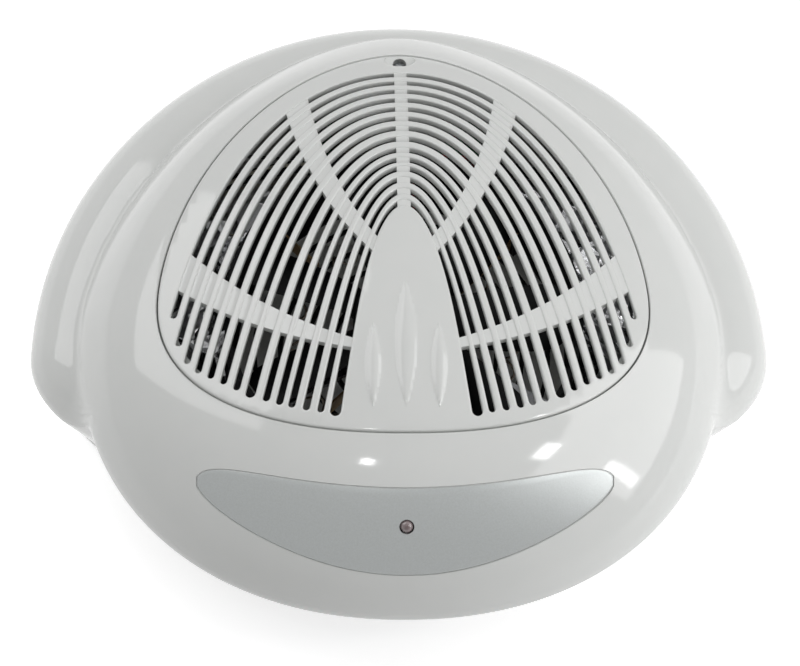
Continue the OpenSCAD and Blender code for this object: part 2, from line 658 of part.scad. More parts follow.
module armature() color(copper) translate([0, fan_y, motor_z + 5.4]) difference() {
    union() {
        intersection() {
            cylinder(h = 7.6, r = 9.6, $fn = 64);
            for (a = [0:120:240]) rotate([0, 0, a]) {
                translate([0, -1.6, 0]) cube([9.6, 3.2, 7.6]);
                difference() {
                    translate([0, 0, 0.6]) cylinder(h = 6.4, r = 9.6, $fn = 64);
                    translate([0, 0, -1]) cylinder(h = 12, r = 8, $fn = 64);
                    rotate([0, 0, 50]) translate([-20, 0, -1]) cube([40, 20, 12]);
                    rotate([0, 0, -50]) translate([-20, -20, -1]) cube([40, 20, 12]);
                }
            }
        }
        cylinder(h = 7.6, r = 3.4, $fn = 48);
    }
    translate([0, 0, -1]) cylinder(h = 12, r = shaft_r, $fn = 48);
}

module commutator() color(brass) translate([0, fan_y, motor_z + 2.8]) difference() {
    cylinder(h = 2.4, r = 3, $fn = 48);
    translate([0, 0, -1]) cylinder(h = 5, r = shaft_r, $fn = 48);
}

blade_chord = 26;
module fan_impeller() color(dark) translate([0, fan_y, 0]) {
    difference() {
        translate([0, 0, blade_z]) cylinder(h = hub_top - blade_z, r = hub_r, $fn = fine);
        translate([0, 0, blade_z - 1]) cylinder(h = hub_top - blade_z - hub_wall + 1, r = hub_r - hub_wall, $fn = fine);
        translate([0, 0, blade_z]) cylinder(h = 40, r = shaft_r, $fn = 48);
    }
    intersection() {
        translate([0, 0, blade_z]) difference() {
            cylinder(h = hub_top - blade_z - 0.6, r = fan_r, $fn = fine);
            translate([0, 0, -1]) cylinder(h = 40, r = hub_r - 0.5, $fn = fine);
        }
        for (k = [0:blade_count - 1]) rotate([0, 0, 360 * k / blade_count])
            translate([hub_r - 2, 0, (blade_z + hub_top - 0.6) / 2]) rotate([blade_pitch, 0, 0])
                translate([0, -blade_chord / 2, -0.8]) cube([fan_r, blade_chord, 1.6]);
    }
}

module impeller_clip() color(steel) translate([0, fan_y, hub_top]) difference() {
    cylinder(h = 1.2, r = 3.6, $fn = 48);
    translate([0, 0, -1]) cylinder(h = 5, r = shaft_r, $fn = 48);
}

// ---- The base and the hand chamber

module base_outline(inset) {
    polygon([for (t = [0:5:355]) spot(t, wall_r(t, base_top) - inset)]);
}

foot_places = [[60, -68], [88, 72]];
foot_r = 8;
board_y = 88;
board_places = [[31, board_y - 12], [31, board_y + 12]];
board_post_top = base_top + 8;
clamp_y = 112;
clamp_post_x = 10;
module base_tray() color(white) {
    difference() {
        translate([0, 0, base_z]) linear_extrude(base_thick) base_outline(0);
        well = (well_r * well_r + well_depth * well_depth) / (2 * well_depth);
        on_both_sides() {
            translate([50, -40, base_top - well_depth + well]) sphere(r = well, $fn = 180);
            for (p = case_posts) translate([p.x, p.y, base_z - 1]) {
                cylinder(h = 10, r = screw_r + 0.1, $fn = 32);
                cylinder(h = 3, r = screw_head_r + 0.3, $fn = 32);
            }
            for (p = foot_places) translate([p.x, p.y, base_z - 1]) cylinder(h = 2, r = foot_r + 0.1, $fn = 48);
        }
    }
    on_both_sides() {
        for (p = board_places) standing_post(p, board_post_top, 3.2);
        standing_post([clamp_post_x, clamp_y], cord_z + 1.6, 3);
    }
}

module rubber_feet() color(dark) on_both_sides() for (p = foot_places) translate([p.x, p.y, 0]) {
    cylinder(h = base_z + 1, r = foot_r, $fn = 48);
}

module case_screws() color(steel) on_both_sides() for (p = case_posts)
    translate([p.x, p.y, base_z + 2]) screw_up(14);

chamber_wall = 2;
chamber_leg_y = -44;
function chamber_r(t, grow) = reach(t, chamber_half_width + grow, 400, chamber_rear + grow, 2, 2.6);
module chamber_area(grow) intersection() {
    polygon([for (t = [0:5:355]) spot(t, chamber_r(t, grow))]);
    translate([-200, chamber_leg_y]) square([400, 200]);
}

// The space inside the cover's lower wall
module inside_cover(gap) {
    open_loft([for (z = [base_top - 1, lip_z])
        [for (t = [0:5:355]) [spot(t, wall_r(t, z) - wall - gap).x, spot(t, wall_r(t, z) - wall - gap).y, z]]]);
}

module hand_chamber() color(dark) {
    translate([0, 0, base_top]) linear_extrude(plate_z - base_top) difference() {
        chamber_area(chamber_wall);
        chamber_area(0);
        translate([-200, chamber_leg_y - 8]) square([400, 8.2]);
    }
    intersection() {
        translate([0, 0, base_top]) linear_extrude(plate_z - base_top) on_both_sides()
            polygon([[chamber_half_width - 0.4, chamber_leg_y + 1], [chamber_half_width + chamber_wall - 0.6, chamber_leg_y + 1],
                [118, -66], [116, -66]]);
        inside_cover(0.4);
    }
}

// ---- The power board, the switch and the cord entry

board_z0 = board_post_top;
board_top_z = board_z0 + 1.6;
module power_board() color([0.12, 0.35, 0.22]) difference() {
    translate([-36, board_y - 16, board_z0]) cube([72, 32, 1.6]);
    on_both_sides() for (p = board_places) translate([p.x, p.y, board_z0 - 1]) cylinder(h = 5, r = 1.6, $fn = 32);
}

module board_screws() color(steel) on_both_sides() for (p = board_places) translate([p.x, p.y, board_top_z]) {
    translate([0, 0, -8]) cylinder(h = 8, r = screw_r - 0.25, $fn = 32);
    cylinder(h = screw_head_h, r = screw_head_r, $fn = 32);
}

module transformer() color([0.5, 0.47, 0.42]) translate([-14, board_y, board_top_z]) {
    translate([-13, -7, 0]) cube([26, 14, 22]);
    color(mica) translate([-9, -11, 4]) cube([18, 22, 14]);
}

module filter_capacitor() color([0.2, 0.22, 0.3]) translate([12, board_y - 6, board_top_z])
    cylinder(h = 16, r = 5, $fn = 48);

module terminal_block() color([0.8, 0.8, 0.76]) translate([8, board_y + 6, board_top_z]) difference() {
    cube([18, 8, 9]);
    for (k = [0:2]) {
        translate([3 + 6 * k, 4, 4]) cylinder(h = 10, r = 1.8, $fn = 32);
        translate([3 + 6 * k, -1, 3]) rotate([-90, 0, 0]) cylinder(h = 3, r = 1.3, $fn = 32);
    }
}

switch_w = 20;
switch_h = 12;
switch_depth = 16;
bezel_w = 23;
bezel_h = 14.8;
bezel_thick = 1.2;
rocker_w = 15.6;
rocker_half = 4.2;
rocker_pin_r = 1.4;
rocker_y = rear_y - 3;
pocket_half = rocker_half * cos(rocker_throw) + 4 * sin(rocker_throw) + 0.35;
module switch_body() color(dark) difference() {
    union() {
        translate([-switch_w / 2, rear_y - switch_depth, switch_z - switch_h / 2])
            cube([switch_w, switch_depth, switch_h]);
        translate([-bezel_w / 2, landing_y, switch_z - bezel_h / 2]) cube([bezel_w, bezel_thick, bezel_h]);
    }
    translate([-rocker_w / 2 - 0.3, rear_y - 9, switch_z - pocket_half]) cube([rocker_w + 0.6, 20, 2 * pocket_half]);
    translate([0, rocker_y, switch_z]) rotate([0, 90, 0])
        cylinder(h = 40, r = rocker_pin_r + 0.05, center = true, $fn = 48);
}

// The rocker: a shallow V outside, a round back, and two pins that turn in the body
module switch_rocker() color([0.15, 0.15, 0.16]) translate([0, rocker_y, switch_z]) {
    rotate([90, 0, 90]) translate([0, 0, -rocker_w / 2]) linear_extrude(rocker_w)
        polygon(concat([[4, -rocker_half], [3.2, 0], [4, rocker_half]],
            [for (a = [90:15:270]) [rocker_half * cos(a), rocker_half * sin(a)]]));
    rotate([0, 90, 0]) cylinder(h = rocker_w + 3.4, r = rocker_pin_r, center = true, $fn = 48);
}

module switch_terminals() color(brass) for (k = [-1:1])
    translate([6 * k - 0.4, rear_y - switch_depth - 6, switch_z - 2]) cube([0.8, 6, 4]);

gland_r = 5;
gland_flange_r = 7;
gland_length = 12;
module cord_gland() color(dark) translate([0, landing_y, cord_z]) rotate([-90, 0, 0]) difference() {
    union() {
        translate([0, 0, -gland_length]) cylinder(h = gland_length, r = gland_r, $fn = 64);
        translate([0, 0, -5.8]) cylinder(h = 1.8, r = gland_r + 0.9, $fn = 64);
        cylinder(h = 1.6, r = gland_flange_r, $fn = 64);
    }
    translate([0, 0, -gland_length - 1]) cylinder(h = 40, r = cord_r, $fn = 64);
}

module cord_clamp() color(steel) translate([0, clamp_y, cord_z + 1.6]) difference() {
    translate([-clamp_post_x - 4, -3, 0]) cube([2 * clamp_post_x + 8, 6, 2.4]);
    for (side = [-1, 1]) translate([side * clamp_post_x, 0, -1]) cylinder(h = 5, r = 1.5, $fn = 32);
    translate([0, 0, -1.6]) rotate([90, 0, 0]) cylinder(h = 20, r = cord_r, center = true, $fn = 48);
}

module clamp_screws() color(steel) for (side = [-1, 1])
    translate([side * clamp_post_x, clamp_y, cord_z + 4]) {
        translate([0, 0, -9]) cylinder(h = 9, r = screw_r - 0.25, $fn = 32);
        cylinder(h = screw_head_h, r = screw_head_r, $fn = 32);
    }

// ---- The leads inside. A soft line passes its inner points in rounded bends.

function soft_line(p, steps = 5) = concat([p[0]],
    [for (i = [1:len(p) - 2], k = [0.5:1:steps - 0.5])
        bent((p[i - 1] + p[i]) / 2, p[i], (p[i] + p[i + 1]) / 2, k / steps)],
    [p[len(p) - 1]]);
module lead(points, r = lead_r) {
    tube(soft_line(points), r, 8);
}

module motor_lead() color([0.6, 0.12, 0.1])
    lead([[3, fan_y + 10, motor_z + 2.9], [3, fan_y + 16, motor_z + 2.9], [motor_lead_x, fan_y + 24, motor_z + 1.3],
        [motor_lead_x, 47, motor_z + 1.3], [motor_lead_x, 54, motor_z + 1.3], [15, 58.9, 67], [30, 58.9, 65],
        [30, 58.9, 50], [34, 66, 41], [24, 84, 37], [20, 98, 34], [20, 98, board_top_z + 10]]);

coil_end = coil_path_r + coil_r;
coil_end_x = coil_end * sin(coil_gap_angle / 2);
coil_end_y = fan_y + coil_end * cos(coil_gap_angle / 2) + coil_wire_r + 0.3;
module heater_lead() color([0.85, 0.83, 0.75]) {
    lead([[coil_end_x, coil_end_y, coil_z], [heater_lead_x, coil_end_y + 8, coil_z], [heater_lead_x, 47, coil_z],
        [heater_lead_x, 53, coil_z], [20, 55.5, 63], [30, 56.1, 62], [30, 56.1, 46], [28, 72, 30], [14, 90, 31],
        [14, 98, 30], [14, 98, board_top_z + 10]]);
    lead([[-coil_end_x, coil_end_y, coil_z], [-heater_lead_x, coil_end_y + 8, coil_z], [-heater_lead_x, 47, coil_z],
        [-heater_lead_x, 53, coil_z], [-30, 51, 61.5], [-44, 46, 61], [cutout.x + 7, cutout.y + 7, plate_top + 2.6]]);
    lead([[cutout.x - 7, cutout.y - 7, plate_top + 2.6], [-74, 26, 62], [-76, 44, 62], [-56, 55, 62.5],
        [-44, 56, 63.5], [-30, 57.5, 63], [-30, 58, 49], [-30, 66, 30], [-4, 70, 28], [2, 82, 30],
        [2, 92, board_top_z + 1]]);
}

module switch_lead() color([0.3, 0.32, 0.36]) {
    lead([[-6, rear_y - switch_depth - 6.3, switch_z], [-6, 105, 30], [2, 103, 28], [3, 100, board_top_z + 1]]);
    lead([[6, rear_y - switch_depth - 6.3, switch_z], [6, 104, 33], [26, 100, 36], [29, 90, 32],
        [29, 84, board_top_z + 1]]);
}

module led_lead() color([0.15, 0.15, 0.17])
    lead([[-10, led_y + 3.5, hood_height([0, led_y]) - 14], [-26, -98, 74], [-60, -84, 70], [-82, -66, 68],
        [-98, -40, 66], [-104, -6, 64], [-104, 20, 62], [-96, 50, 58], [-74, 70, 48], [-44, 78, 30],
        [-32, 84, 24], [-31, 88, board_top_z + 1]]);

top_cover();
intake_grille();
grille_screw();
panel_label();
indicator_led();
led_board();
led_board_screws();
air_duct();
duct_screws();
outlet_guard();
guard_screws();
heat_shield();
mica_board_a();
mica_board_b();
heater_coil();
thermal_cutout();
motor_bracket();
bracket_screws();
motor_can();
motor_end_cap();
motor_magnets();
motor_brushes();
upper_bearing();
lower_bearing();
motor_screws();
motor_shaft();
armature();
commutator();
fan_impeller();
impeller_clip();
hand_chamber();
base_tray();
rubber_feet();
case_screws();
power_board();
board_screws();
transformer();
filter_capacitor();
terminal_block();
switch_body();
switch_rocker();
switch_terminals();
cord_gland();
cord_clamp();
clamp_screws();
led_lead();
motor_lead();
heater_lead();
switch_lead();
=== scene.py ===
"""A fan dryer for nail polish: a white dished housing on a tray, with a fan and a warm coil over the hands.

The sections follow the way it is put together, from the tray up to the grille. Sizes are in millimetres
and MM turns them into the frame's metres.
"""

import math
import random

import bmesh
import bpy
from mathutils import Matrix, Vector
from mathutils.geometry import delaunay_2d_cdt


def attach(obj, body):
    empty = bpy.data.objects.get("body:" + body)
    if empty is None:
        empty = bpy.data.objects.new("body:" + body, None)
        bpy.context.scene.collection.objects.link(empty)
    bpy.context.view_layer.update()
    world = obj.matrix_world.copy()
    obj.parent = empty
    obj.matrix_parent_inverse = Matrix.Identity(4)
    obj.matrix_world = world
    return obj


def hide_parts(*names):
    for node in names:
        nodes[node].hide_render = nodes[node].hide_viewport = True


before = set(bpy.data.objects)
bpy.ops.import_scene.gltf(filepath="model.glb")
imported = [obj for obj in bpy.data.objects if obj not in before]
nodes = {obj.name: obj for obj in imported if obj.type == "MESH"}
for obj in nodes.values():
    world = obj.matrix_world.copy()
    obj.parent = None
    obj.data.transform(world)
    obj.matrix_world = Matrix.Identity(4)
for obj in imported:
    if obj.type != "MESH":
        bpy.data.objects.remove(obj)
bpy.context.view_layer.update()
MM = 0.001
scene = bpy.context.scene
scene.view_settings.view_transform = "Standard"

# ---- The camera
# It stands in front of the dryer and looks steeply down on it from 0.9 m, rolled a little, as in the photo.

camera = bpy.data.objects.new("camera", bpy.data.cameras.new("camera"))
scene.collection.objects.link(camera)
camera.data.sensor_width = 36
camera.data.lens = 105.7
azimuth, elevation, roll, distance = (math.radians(-3.79), math.radians(64), math.radians(3.49), 900)
target = Vector((-0.9, -21.7, 70))
level = math.cos(elevation)
ahead = Vector((-math.sin(azimuth) * level, math.cos(azimuth) * level, -math.sin(elevation)))
camera.rotation_mode = "QUATERNION"
camera.rotation_quaternion = ahead.to_track_quat("-Z", "Y") @ Matrix.Rotation(roll, 3, "Z").to_quaternion()
camera.location = (target - ahead * distance) * MM
camera.data.clip_start, camera.data.clip_end = 0.01, 20
scene.camera = camera

# ---- The base tray
# The real tray is a shallow injection moulding in white ABS with a dished well for each hand. It closes
# the cover from below and stands on four rubber feet.

TRAY_TOP = 8
WAIST_Y, FAN_Y = -20, -22.5
RIM_Z, LIP_Z = 42, 58


def reach(turn, half_width, front, rear, front_power, rear_power):
    """How far an outline lies from the waist centre in one direction: an arch in front, another behind."""
    side, along = abs(math.cos(turn)), math.sin(turn)
    power, depth = (front_power, front) if along < 0 else (rear_power, rear)
    return ((side / half_width) ** power + (abs(along) / depth) ** power) ** (-1 / power)


def grille_reach(turn):
    """The round opening on top."""
    return reach(turn, 92.5, 58.5, 119.5, 2.2, 1.7)


def crown_reach(turn):
    """The foot of the raised crown round the opening."""
    return reach(turn, 124, 113, 137, 2.15, 1.7)


def wing_reach(turn):
    """The wings, wider than the crown at the sides."""
    return reach(turn, 145, 62, 152, 2, 2)


def edge_reach(turn):
    """The widest line of the case."""
    return max(crown_reach(turn), wing_reach(turn))


def dome(x, y, inset=0):
    """Height of the dome that the grille and the middle of the cover share."""
    radius, centre_z = 230, -118
    return centre_z + math.sqrt((radius - inset) ** 2 - x * x - (y - FAN_Y) ** 2)


def spot(turn, r):
    """The place in plan that lies r from the waist centre."""
    return r * math.cos(turn), r * math.sin(turn) + WAIST_Y


def hood(turn, r, inset=0):
    """Height of the cover: the crown and the wings, run together along a soft crease."""
    crown_fall, wing_rise, wing_fall, crease = 80, 24, 400, 12
    grille, foot = grille_reach(turn), crown_reach(turn)
    u = (r - grille) / (foot - inset - grille)
    if u < 1:
        crown = dome(*spot(turn, r), inset)
        if u > 0:
            crown = LIP_Z + (crown - LIP_Z) * math.sqrt(1 - u ** 3)
    else:
        crown = LIP_Z - crown_fall * (u - 1)
    q = r / (wing_reach(turn) - inset)
    if q < 1:
        wing = RIM_Z + (wing_rise - inset) * math.sqrt(1 - q ** 8)
    else:
        wing = RIM_Z - wing_fall * (q - 1)
    blend = max(crease - abs(crown - wing), 0) / crease
    return max(crown, wing) + blend * blend * crease / 4


def hood_at(x, y, inset=0):
    """Height of the cover over a place in plan."""
    return hood(math.atan2(y - WAIST_Y, x), math.hypot(x, y - WAIST_Y), inset)


def wall_reach(turn, z):
    """The case tapers in below its widest line, least at the back."""
    edge, lean = edge_reach(turn), 0.32
    return edge - lean * (1 - math.sin(turn)) * (hood(turn, edge) - z)


def at(x, y, z=0):
    """A shift to a place."""
    return Matrix.Translation((x, y, z))


def both_sides(*places):
    """Each place and its mirror image."""
    return [(side * place[0], *place[1:]) for side in (-1, 1) for place in places]


def on_circle(r, degrees, x=0, y=0):
    """A place in plan on a circle about (x, y)."""
    return x + r * math.cos(math.radians(degrees)), y + r * math.sin(math.radians(degrees))


def make_piece(name, points, faces, material, sharp=35):
    """A mesh in millimetres as a piece: faces turned outwards, edges sharper than `sharp` degrees kept."""
    mesh = bpy.data.meshes.new(name)
    mesh.from_pydata([[c * MM for c in point] for point in points], [], faces)
    piece = bpy.data.objects.new(name, mesh)
    scene.collection.objects.link(piece)
    tidy(piece, material, sharp)
    return piece


def tidy(piece, material, sharp=35):
    """Merges doubled points, turns the faces outwards and marks the sharp edges."""
    work = bmesh.new()
    work.from_mesh(piece.data)
    bmesh.ops.remove_doubles(work, verts=work.verts, dist=0.002 * MM)
    bmesh.ops.recalc_face_normals(work, faces=work.faces)
    for face in work.faces:
        face.smooth = True
        face.material_index = 0
    for edge in work.edges:
        edge.smooth = edge.calc_face_angle(0) < math.radians(sharp)
    work.to_mesh(piece.data)
    work.free()
    piece.data.materials.clear()
    piece.data.materials.append(material)


def loft(rings, closed):
    """Faces between rings of the same size, and round to the first one where it is closed."""
    size, faces = len(rings[0]), []
    for i in range(len(rings) - (0 if closed else 1)):
        a, b = i * size, (i + 1) % len(rings) * size
        faces += [(a + j, b + j, b + (j + 1) % size, a + (j + 1) % size) for j in range(size)]
    if not closed:
        faces += [tuple(range(size)), tuple(range((len(rings) - 1) * size, len(rings) * size))]
    return faces


def lathe(profile, sides, place=Matrix.Identity(4)):
    """Rings of a turned solid about z. Profile points are (radius, height); a radius of 0 closes it."""
    points, rings = [], []
    for r, z in profile:
        if r == 0:
            rings.append([len(points)] * sides)
            points.append((0, 0, z))
        else:
            rings.append([len(points) + k for k in range(sides)])
            points += [(*on_circle(r, 360 * k / sides), z) for k in range(sides)]
    faces = []
    for low, high in zip(rings, rings[1:]):
        for k in range(sides):
            corners = [low[k], low[(k + 1) % sides], high[(k + 1) % sides], high[k]]
            faces.append(tuple(dict.fromkeys(corners)))
    return [tuple(place @ Vector(p)) for p in points], faces


def joined(*shapes):
    """Several (points, faces) shapes as one."""
    points, faces = [], []
    for more_points, more_faces in shapes:
        faces += [tuple(v + len(points) for v in face) for face in more_faces]
        points += list(more_points)
    return points, faces


def cut(piece, shapes, sharp=35):
    """Takes closed shapes away from a piece and tidies what is left."""
    cutter = make_piece("cutter", *joined(*shapes), piece.data.materials[0])
    knife = piece.modifiers.new("cut", "BOOLEAN")
    knife.object, knife.operation, knife.solver = cutter, "DIFFERENCE", "EXACT"
    knife.use_self = False
    settle(piece)
    bpy.data.objects.remove(cutter)
    tidy(piece, piece.data.materials[0], sharp)


def settle(piece):
    """Makes what the modifiers give the piece's own plain mesh."""
    ready = piece.evaluated_get(bpy.context.evaluated_depsgraph_get())
    mesh = bpy.data.meshes.new_from_object(ready)
    piece.modifiers.clear()
    piece.data = mesh


def linear(colour):
    """An sRGB hex colour as linear RGBA."""
    parts = [int(colour[i:i + 2], 16) / 255 for i in (1, 3, 5)]
    return [c / 12.92 if c <= 0.04045 else ((c + 0.055) / 1.055) ** 2.4 for c in parts] + [1]


def add(tree, kind, inputs=None, **settings):
    """Adds a node with its settings. Its inputs are values or the sockets that feed them."""
    node = tree.nodes.new(kind)
    for name, value in settings.items():
        setattr(node, name, value)
    for name, value in (inputs or {}).items():
        if isinstance(value, bpy.types.NodeSocket):
            tree.links.new(value, node.inputs[name])
        else:
            node.inputs[name].default_value = value
    return node


def new_material(name):
    """A new material without nodes, and its node tree."""
    material = bpy.data.materials.new(name)
    material.use_nodes = True
    material.node_tree.nodes.clear()
    return material, material.node_tree


def moulded(name, colour, deep, rough, grain, depth, ior=1.53, shine=0.5):
    """Moulded plastic: a faint cloud in its colour from `colour` to `deep`, a gloss that wanders a little,
    and a skin of grain `grain` mm across and `depth` mm deep. `shine` is 0.5 for clean, less for dusty."""
    material, tree = new_material(name)
    place = add(tree, "ShaderNodeTexCoord").outputs["Object"]
    cloud = add(tree, "ShaderNodeTexNoise", {
        "Vector": place, "Scale": 1 / (14 * MM), "Detail": 3}).outputs["Fac"]
    tint = add(tree, "ShaderNodeMix", {"Factor": cloud, "A": linear(colour), "B": linear(deep)},
               data_type="RGBA")
    gloss = add(tree, "ShaderNodeMapRange", {"Value": cloud, "To Min": rough - 0.03, "To Max": rough + 0.03})
    skin = add(tree, "ShaderNodeTexNoise", {
        "Vector": place, "Scale": 1 / (grain * MM), "Detail": 2}).outputs["Fac"]
    bump = add(tree, "ShaderNodeBump", {"Height": skin, "Distance": depth * MM, "Strength": 1})
    shader = add(tree, "ShaderNodeBsdfPrincipled", {
        "Base Color": tint.outputs["Result"], "Roughness": gloss.outputs["Result"],
        "Normal": bump.outputs["Normal"], "IOR": ior, "Specular IOR Level": shine})
    add(tree, "ShaderNodeOutputMaterial", {"Surface": shader.outputs["BSDF"]})
    return material


# White ABS from a polished mould: glossy, hardly any grain, a trace of grey cloud under the gloss.
white_abs = moulded("white_abs_polished", "#DDDEDC", "#D8DAD8", 0.08, 1.6, 0.002)


def smooth_outline(radius, count=144):
    """Places round an outline given by its reach in each direction."""
    turns = [math.tau * k / count for k in range(count)]
    return [spot(turn, radius(turn)) for turn in turns]


CASE_POSTS = ((119, -20), (75, 85))
FOOT_PLACES = ((60, -68), (88, 72))
BOARD_PLACES = ((31, 76), (31, 100))
CLAMP_PLACE = (10, 112)
BOARD_STAND_TOP, CLAMP_STAND_TOP = 16, 17.6
WELL_DEPTH, WELL_R = 2, 362
tray_rings = []
for z, inset in ((3, 0.9), (3.25, 0.3), (3.9, 0), (7.4, 0), (7.85, 0.15), (TRAY_TOP, 0.6)):
    tray_rings.append([(x, y, z) for x, y in smooth_outline(lambda turn: wall_reach(turn, TRAY_TOP) - inset)])
base_tray = make_piece("white_tray", sum(tray_rings, []), loft(tray_rings, False), white_abs, 4)
well_floor = TRAY_TOP - WELL_DEPTH
well = [(0, well_floor)] + [(r, well_floor + r * r / (2 * WELL_R)) for r in range(4, 44, 4)]
well += [(40, 12), (0, 12)]
screw_sink = [(0, 2), (2.95, 2), (2.95, 5), (1.6, 5), (1.6, 9), (0, 9)]
foot_sink = [(0, 2), (8.1, 2), (8.1, 4), (0, 4)]
hollows = [lathe(profile, sides, at(x, y)) for profile, sides, places in (
    (well, 64, ((50, -40),)), (screw_sink, 32, CASE_POSTS), (foot_sink, 48, FOOT_PLACES))
    for x, y in both_sides(*places)]
cut(base_tray, hollows, 4)
stand_sizes = [(*place, BOARD_STAND_TOP, 3.2) for place in BOARD_PLACES]
stand_sizes.append((*CLAMP_PLACE, CLAMP_STAND_TOP, 3))
stands = [lathe([(0, 7.5), (r + 0.5, 7.5), (r, 9), (r, top), (1.3, top), (1.3, 10), (0, 10)], 24, at(x, y))
          for x, y, top, r in both_sides(*stand_sizes)]
tray_stands = make_piece("tray_screw_stands", *joined(*stands), white_abs)
for piece in (base_tray, tray_stands):
    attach(piece, "dryer_body")
    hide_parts("base_tray")

# ---- The rubber feet
# Four moulded nitrile rubber discs, pressed into round recesses under the tray. Dull black, a little dusty.

rubber = moulded("nitrile_rubber", "#1B1B1C", "#2A2927", 0.72, 0.6, 0.03, 1.52)
foot = [(0, 0), (6.8, 0), (7.5, 0.2), (7.85, 0.6), (8, 1.2), (8, 4), (0, 4)]
four_feet = [lathe(foot, 48, at(x, y)) for x, y in both_sides(*FOOT_PLACES)]
feet = make_piece("rubber_feet_round", *joined(*four_feet), rubber)
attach(feet, "dryer_body")
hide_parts("rubber_feet")

# ---- The screws
# Zinc-plated steel pan heads with a cross recess, one tree for every size: a domed head, a recess cut by
# two bars, and a shank, set at each seat along its axis.


def turned_metal(name, colour, deep, rough, scale, stretch=(1, 1, 1)):
    """Metal with fine tool marks: the noise is stretched along the marks and moves gloss and height."""
    material, tree = new_material(name)
    place = add(tree, "ShaderNodeTexCoord").outputs["Object"]
    drawn = add(tree, "ShaderNodeMapping", {"Vector": place, "Scale": stretch}).outputs["Vector"]
    marks = add(tree, "ShaderNodeTexNoise", {
        "Vector": drawn, "Scale": 1 / (scale * MM), "Detail": 4}).outputs["Fac"]
    tint = add(tree, "ShaderNodeMix", {"Factor": marks, "A": linear(colour), "B": linear(deep)},
               data_type="RGBA")
    gloss = add(tree, "ShaderNodeMapRange", {"Value": marks, "To Min": rough - 0.08, "To Max": rough + 0.1})
    bump = add(tree, "ShaderNodeBump", {"Height": marks, "Distance": 0.01 * MM, "Strength": 1})
    shader = add(tree, "ShaderNodeBsdfPrincipled", {
        "Base Color": tint.outputs["Result"], "Roughness": gloss.outputs["Result"],
        "Normal": bump.outputs["Normal"], "Metallic": 1})
    add(tree, "ShaderNodeOutputMaterial", {"Surface": shader.outputs["BSDF"]})
    return material


# Zinc plate: bright grey with a faint mottled sheen from the bath.
zinc = turned_metal("zinc_plated_steel", "#C6C8CA", "#A9ABAE", 0.32, 1.5)


